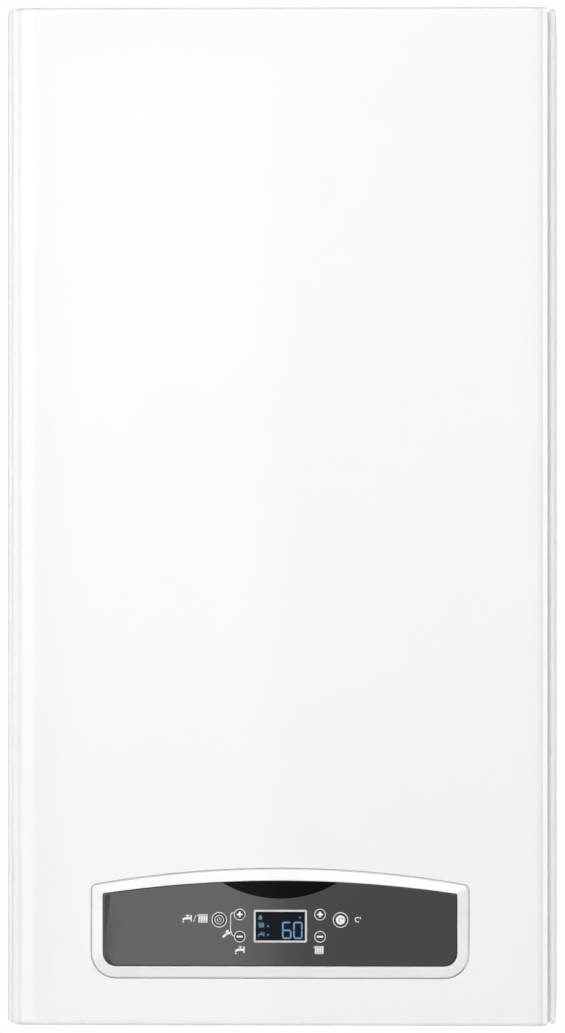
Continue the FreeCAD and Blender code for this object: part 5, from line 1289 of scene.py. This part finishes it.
@dataclass
class Panel:
    """The control panel: white surround, dark fascia, lens, display, buttons and prints."""

    back: float = -0.305
    face: float = -0.317
    glass: float = -0.3178
    cap_face: float = -0.3176
    film: float = 0.05 * MILLIMETRE
    gap: float = 0.15 * MILLIMETRE
    wall: float = 0.0022
    cap_edge: float = 0.35 * MILLIMETRE
    cap_play: float = 0.0003
    collar: float = 0.0012
    stem: float = 0.009
    reset_scale: float = 0.85
    brace_half: float = 0.28
    fascia: Arched = Arched(0.2574, 0.0433, 0.1052, 0.883, 0.0095, 0.001)
    surround: Arched = Arched(0.2736, 0.0349, 0.1137, 0.774, 0.0175, 0.0035)
    lens: LensOutline = LensOutline(0.042, 0.1051, 0.883, 0.0127)
    lens_edge: float = 0.3 * MILLIMETRE
    window: Rounded = Rounded((-0.0191, 0.0197), (0.0605, 0.0843), 0.0015)
    border: float = 0.0015
    bezel_corner: float = 0.0004
    pane_corner: float = 0.0005
    pane_back: float = 0.008
    mask_sides: Place = (0.0005, 0.0004)
    mask_ends: Place = (0.0004, 0.0013)
    mask_corner: float = 0.0003
    recess: float = 0.0005
    brim: float = 0.00065
    brim_face: float = -0.3128
    brim_wall: float = 0.0006

    def frame(self) -> None:
        """The white surround: a rolled outer edge, a sloping band and a raised inner rim."""
        form = Form("surround")
        outer = ((0.0, -0.3150), (-0.25, -0.3155), (-0.6, -0.31565), (-1.1, -0.31575))
        inner = ((1.6, -0.3168), (1.1, -0.317), (0.7, -0.31705), (0.3, -0.3169), (0.15, -0.3163))
        steps = [(self.surround, 0.0, self.back)]
        steps += [(self.surround, grow * MILLIMETRE, depth) for grow, depth in outer]
        steps += [(self.fascia, grow * MILLIMETRE, depth) for grow, depth in inner]
        steps.append((self.fascia, self.gap, self.back))
        rows = [
            form.ring(Plane.FRONT, outline.points(grow), depth) for outline, grow, depth in steps
        ]
        form.skin([*rows, rows[0]])
        brim, hole = (
            Shape(tuple(self.surround.points(grow))) for grow in (self.brim, -self.wall / 2)
        )
        form.plate(Plane.FRONT, brim, [hole], (self.brim_face + self.brim_wall, self.brim_face))
        form.piece("white_moulding", "control_box", ["fascia_frame"])

    def dark_cap(self) -> None:
        """The dark fascia with its rounded edge and its openings."""
        form = Form("fascia")
        shoulder = ((0.0, 0.8), (-0.12, 0.38), (-0.4, 0.1), (-0.9, 0.0))
        steps = [(grow * MILLIMETRE, self.face + depth * MILLIMETRE) for grow, depth in shoulder]
        rim = form.walls(Plane.FRONT, self.fascia, [(0.0, self.back), *steps])[-1]
        openings: list[Outline] = [Round(key.place, key.radius + self.gap) for key in KEYS]
        openings.append(Rounded(*self.pane(), self.pane_corner))
        holes = [form.ring(Plane.FRONT, opening.points(), self.face) for opening in openings]
        form.cap(rim, *holes)
        form.piece("anthracite_moulding", "control_box", ["fascia_panel"], self.wall)

    def pane(self, sides: Place = (0.0, 0.0), ends: Place = (0.0, 0.0)) -> tuple[Place, Place]:
        """The limits of the display inside its bezel.

        Args:
            sides: What covers its left and its right side.
            ends: What covers its lower and its upper end.

        Returns:
            The limits across and up.
        """
        (left, right), (low, high) = self.window.u, self.window.v
        left, right = left + self.border + sides[0], right - self.border - sides[1]
        low, high = low + self.border + ends[0], high - self.border - ends[1]
        return (left, right), (low, high)

    def badge(self) -> None:
        """The bare gloss lens on the crown of the fascia."""
        form = Form("lens")
        face, edge = self.glass, self.lens_edge
        eased = ((0.0, face + edge), (-EASE * edge, face + EASE * edge), (-edge, face))
        steps = ((0.0, self.face), *eased)
        form.moulding(Plane.FRONT, self.lens, steps)
        form.piece("black_lens", "control_box", ["badge_lens"])

    def display(self) -> None:
        """The display's pale bezel, its dark pane and what is lit on it."""
        form = Form("display_bezel")
        inner = Rounded(*self.pane(), self.bezel_corner)
        form.plate(Plane.FRONT, self.window, [inner], (self.face, self.glass), self.recess / 2)
        form.piece("display_bezel", "control_box")
        form = Form("display_glass")
        depth = self.glass + self.recess
        reach = Rounded(*self.pane(), self.pane_corner)
        steps = [(-self.gap, end) for end in (self.face + self.pane_back, depth)]
        form.moulding(Plane.FRONT, reach, steps)
        form.piece("display_pane", "control_box", ["display_window"])
        form = Form("display_mask")
        opening = Rounded(*self.pane(self.mask_sides, self.mask_ends), self.mask_corner)
        form.plate(Plane.FRONT, inner, [opening], (depth, depth - 2 * self.film))
        form.piece("black_lens", "control_box")
        digits = [shape for lit in LIT_DIGITS for shape in lit.bars()]
        signs = [shape for sign, *place in LIT_SIGNS for shape in shifted(sign.value, *place)]
        for name, shapes, finish in (
            ("display_digits", shifted(digits, 0, 0), "display_glow"),
            ("display_signs", signs, "display_faint_glow"),
        ):
            form = Form(name)
            stamp(form, shapes, (depth + self.film, depth - self.film))
            form.piece(finish, "control_box")

    def key(self, key: Key) -> None:
        """One button with its cap, collar, stem and prints.

        Args:
            key: The button.
        """
        name = f"{key.name}_button"
        body = f"{name}_cap"
        form = Form(f"{name}_top")
        radius, lid, edge = key.radius, self.cap_face, self.cap_edge
        inner = self.face + self.wall + self.cap_play
        foot = self.face + self.stem
        profile = (
            (0.0, lid),
            (radius - edge, lid),
            (radius - EASE * edge, lid + EASE * edge),
            (radius, lid + edge),
            (radius, inner),
            (radius + self.collar, inner),
            (radius + self.collar, inner + self.collar),
            (radius / 2, inner + self.collar),
            (radius / 2, foot),
            (0.0, foot),
        )
        form.turned(Plane.FRONT, key.place, profile, ROUND_STEPS)
        form.piece("button_cap", body, [name])
        marks = Form(f"{name}_print")
        ink = (lid + self.film, lid - self.film)
        key.draw_rings(marks, ink, on_cap=True)
        if key.disc:
            marks.plate(Plane.FRONT, Round(key.place, key.disc, ROUND_STEPS), [], ink)
        else:
            stamp(marks, shifted(key.sign.value, *key.place), ink)
        marks.piece("white_print", body)
        if key.disc:
            sign = Form(f"{name}_sign")
            shapes = shifted(key.sign.value, *key.place, self.reset_scale)
            stamp(sign, shapes, (lid, lid - 2 * self.film))
            sign.piece("grey_print", body)

    def prints(self) -> None:
        """The white rings, symbols and brace printed on the fascia."""
        form = Form("fascia_prints")
        ink = (self.face + self.film, self.face - self.film)
        for key in KEYS:
            key.draw_rings(form, ink, on_cap=False)
        for sign, *place in PRINTED_SIGNS:
            stamp(form, shifted(sign.value, *place), ink)
        for (u, v), (across, up) in zip(BRACE, BRACE[1:]):
            share = self.brace_half / math.hypot(across - u, up - v)
            side = (share * (v - up), share * (across - u))
            ends = ((u, v, 1), (across, up, 1), (across, up, -1), (u, v, -1))
            corners = tuple((a + side[0] * s, b + side[1] * s) for a, b, s in ends)
            stamp(form, shifted([Shape(corners)], 0, 0), ink)
        form.piece("white_print", "control_box")

    def build(self) -> None:
        """Make every piece of the panel."""
        self.frame()
        self.dark_cap()
        self.badge()
        self.display()
        for key in KEYS:
            self.key(key)
        self.prints()


# Fixings and fine parts --------------------------------------------------------------------


class Head(Enum):
    """The kinds of screw head, as (radius, height) in shares of the head's own radius."""

    HEXAGON = ((1.45, 0.0), (1.45, 0.2), (1.1, 0.38), (0.2, 0.42))
    SOCKET = ((1.0, 0.0), (1.0, 0.45), (0.86, 0.68), (0.5, 0.78), (0.46, 0.3), (0.12, 0.22))
    SLOTTED = ((1.0, 0.0), (1.0, 0.5), (0.9, 0.6), (0.8, 0.62), (0.15, 0.62))


HEAD_TURN = 47.0  # degrees from one screw to the next, so that no two stand alike
NUT = ((0.0, 0.2), (0.0, 1.0), (-0.06, 1.1), (-0.16, 1.15))
SLOT = 14.0  # half the angle that the slot takes out of the rim, in degrees
LAND = (0.6, 0.8)  # foot and face of the lands beside the slot, as shares of the radius
LAND_SHARE = 0.78


@dataclass(frozen=True)
class Fixing:
    """Like screws on one face: their body, plane, seat, outward way, head and places."""

    name: str
    body: str
    plane: Plane
    seat: float
    out: int
    radius: float
    head: Head
    places: tuple[Place, ...]

    def build(self) -> None:
        """Make the heads as one piece."""
        form = Form(self.name)
        for index, place in enumerate(self.places):
            profile = [(share * self.radius, self.depth(up)) for share, up in self.head.value]
            profile = [(0.0, self.seat), *profile, (0.0, profile[-1][1])]
            form.turned(self.plane, place, profile, HEAD_STEPS)
            turn = HEAD_TURN * index
            if self.head is Head.HEXAGON:
                steps = [(grow * self.radius, self.depth(up)) for grow, up in NUT]
                form.moulding(self.plane, Round(place, self.radius, 6, turn), steps)
            if self.head is Head.SLOTTED:
                land = [(0.0, self.depth(up)) for up in LAND]
                for start in (turn + SLOT, turn + SLOT + 180):
                    turns = (start, start + 180 - 2 * SLOT)
                    half = arc(place, LAND_SHARE * self.radius, *turns, SHOULDER_STEPS)
                    form.moulding(self.plane, Shape(tuple(half)), land)
        form.piece("plated_steel", self.body)

    def depth(self, share: float) -> float:
        """The depth at a height above the seat, given as a share of the radius."""
        return self.seat + share * self.out * self.radius


def pairs(*places: Place) -> tuple[Place, ...]:
    """Each place and its mirror image from left to right."""
    return tuple((side * u, v) for u, v in places for side in (-1, 1))


def ring_of(centre: Place, radius: float, count: int, start: float) -> tuple[Place, ...]:
    """Places evenly round a circle."""
    return tuple(arc(centre, radius, start, start + 360, count)[:-1])


FRONT, FLOOR = Plane.FRONT, Plane.FLOOR
HEXAGON, SOCKET, SLOTTED = Head.HEXAGON, Head.SOCKET, Head.SLOTTED
FIXINGS = (
    Fixing(
        "chamber_panel_screws", "chamber_panel", FRONT, -0.2512, -1, 0.0034, HEXAGON,
        pairs((0.168, 0.338), (0.168, 0.51), (0.168, 0.678), (0.084, 0.3275), (0.084, 0.6875)),
    ),
    Fixing(
        "control_box_lid_screws", "control_box", FRONT, -0.255, 1, 0.003, SOCKET,
        pairs((0.149, 0.029), (0.149, 0.191)),
    ),
    Fixing(
        "collar_screws", "chassis", FLOOR, 0.7265, 1, 0.0028, SOCKET,
        pairs((0.057, -0.108), (0.057, -0.222)),
    ),
    Fixing(
        "top_plate_screws", "chassis", FLOOR, 0.725, 1, 0.0032, HEXAGON,
        pairs((0.184, -0.025), (0.184, -0.13), (0.184, -0.235)),
    ),
    Fixing(
        "lower_rail_screws", "chassis", FRONT, -0.2275, -1, 0.0032, HEXAGON,
        pairs((0.185, 0.018)),
    ),
    Fixing(
        "pump_motor_screws", "chassis", FRONT, -0.2214, -1, 0.0026, SOCKET,
        ring_of((0.13, 0.184), 0.0311, 4, 45.0),
    ),
    Fixing("pump_vent_screw", "chassis", FRONT, -0.231, -1, 0.0062, SLOTTED, ((0.13, 0.184),)),
    Fixing("coil_nut", "chassis", FRONT, -0.203, -1, 0.0055, HEXAGON, ((0.0, 0.107),)),
    Fixing(
        "gas_valve_screws", "chassis", FRONT, -0.169, -1, 0.0024, SOCKET,
        pairs((0.0215, 0.134), (0.0215, 0.182)),
    ),
    Fixing(
        "diverter_screws", "chassis", FRONT, -0.197, -1, 0.0024, SOCKET,
        ((-0.146, 0.07), (-0.114, 0.12)),
    ),
    Fixing(
        "pressure_switch_screws", "chassis", FRONT, -0.1252, -1, 0.0018, SOCKET,
        ring_of((0.125, 0.65), 0.0215, 6, 30.0),
    ),
    Fixing(
        "fan_motor_screws", "chassis", FRONT, -0.228, -1, 0.0022, SOCKET,
        ring_of((-0.043, 0.64), 0.0235, 3, 90.0),
    ),
    Fixing("hood_screws", "chassis", FRONT, -0.237, -1, 0.0028, HEXAGON, pairs((0.104, 0.529))),
    Fixing(
        "burner_housing_screws", "chassis", FRONT, -0.238, -1, 0.0028, HEXAGON,
        pairs((0.108, 0.469)),
    ),
)  # fmt: skip


@dataclass
class Threads:
    """The outer threads of the pipe tails under the floor."""

    row: float = -0.129
    low: float = 0.0035
    high: float = 0.0165
    pitch: float = 0.0018
    rise: float = 0.0006
    tails: tuple[Place, ...] = (
        (-0.13, 0.0132), (-0.065, 0.0105), (0.0, 0.0132), (0.065, 0.0105), (0.13, 0.0132),
    )  # fmt: skip
    section: tuple[Place, ...] = ((-0.2, -0.42), (1.0, -0.1), (1.0, 0.1), (-0.2, 0.42))
    steps: int = 28
    gas_tail: int = 3

    def build(self) -> None:
        """Make one helical ridge for each tail; the gas tail is metal."""
        for number, (across, radius) in enumerate(self.tails, 1):
            finish = "cast_aluminium" if number == self.gas_tail else "composite_moulding"
            form = Form(f"tail_thread_{number}")
            ridge = [(radius + out * self.rise, up * self.pitch) for out, up in self.section]
            rows = []
            for step in range(int((self.high - self.low) / self.pitch * self.steps)):
                turns = step / self.steps
                z = self.low + self.pitch * turns
                a = 2 * math.pi * turns
                rows.append(
                    form.loop(
                        Vector((across + r * math.cos(a), self.row + r * math.sin(a), z + up))
                        for r, up in ridge
                    )
                )
            form.skin(rows)
            form.close(rows)
            form.piece(finish, "chassis")


@dataclass
class Chamber:
    """The fine parts of the combustion chamber: the door's seal and the sight glass's ring."""

    across: Place = (-0.1738, 0.1738)
    up: Place = (0.3222, 0.6928)
    face: float = -0.25
    width: float = 0.006
    proud: float = 0.0004
    corner: float = 0.004
    glass: Place = (0.0, 0.415)
    door: float = -0.2572
    ring: tuple[Place, ...] = (
        (0.0142, 0.0), (0.0185, 0.0), (0.0185, 0.0012), (0.0178, 0.002), (0.015, 0.0022),
        (0.0142, 0.0016), (0.0142, 0.0),
    )  # fmt: skip

    def build(self) -> None:
        """Make the seal and the ring."""
        form = Form("chamber_seal")
        outline = Rounded(self.across, self.up, self.corner)
        hole = Shape(tuple(outline.points(-self.width)))
        form.plate(Plane.FRONT, outline, [hole], (self.face, self.face - self.proud))
        form.piece("ceramic_fibre", "chassis")
        form = Form("sight_glass_ring")
        profile = [(radius, self.door - proud) for radius, proud in self.ring]
        form.turned(Plane.FRONT, self.glass, profile, ROUND_STEPS)
        form.piece("plated_steel", "chamber_panel")


def main() -> None:
    """Build the boiler's looks in order."""
    logging.basicConfig(level=logging.INFO, format="%(name)s %(message)s")
    paints = Paints()
    paints.build()
    paints.dress_frame()
    Studio().build()
    Cover().build()
    SidePanel(-1, bend=(0.0012, 0.009)).build()
    SidePanel(1).build()
    Panel().build()
    for fixing in FIXINGS:
        fixing.build()
    Threads().build()
    Chamber().build()


if __name__ == "__main__":
    main()
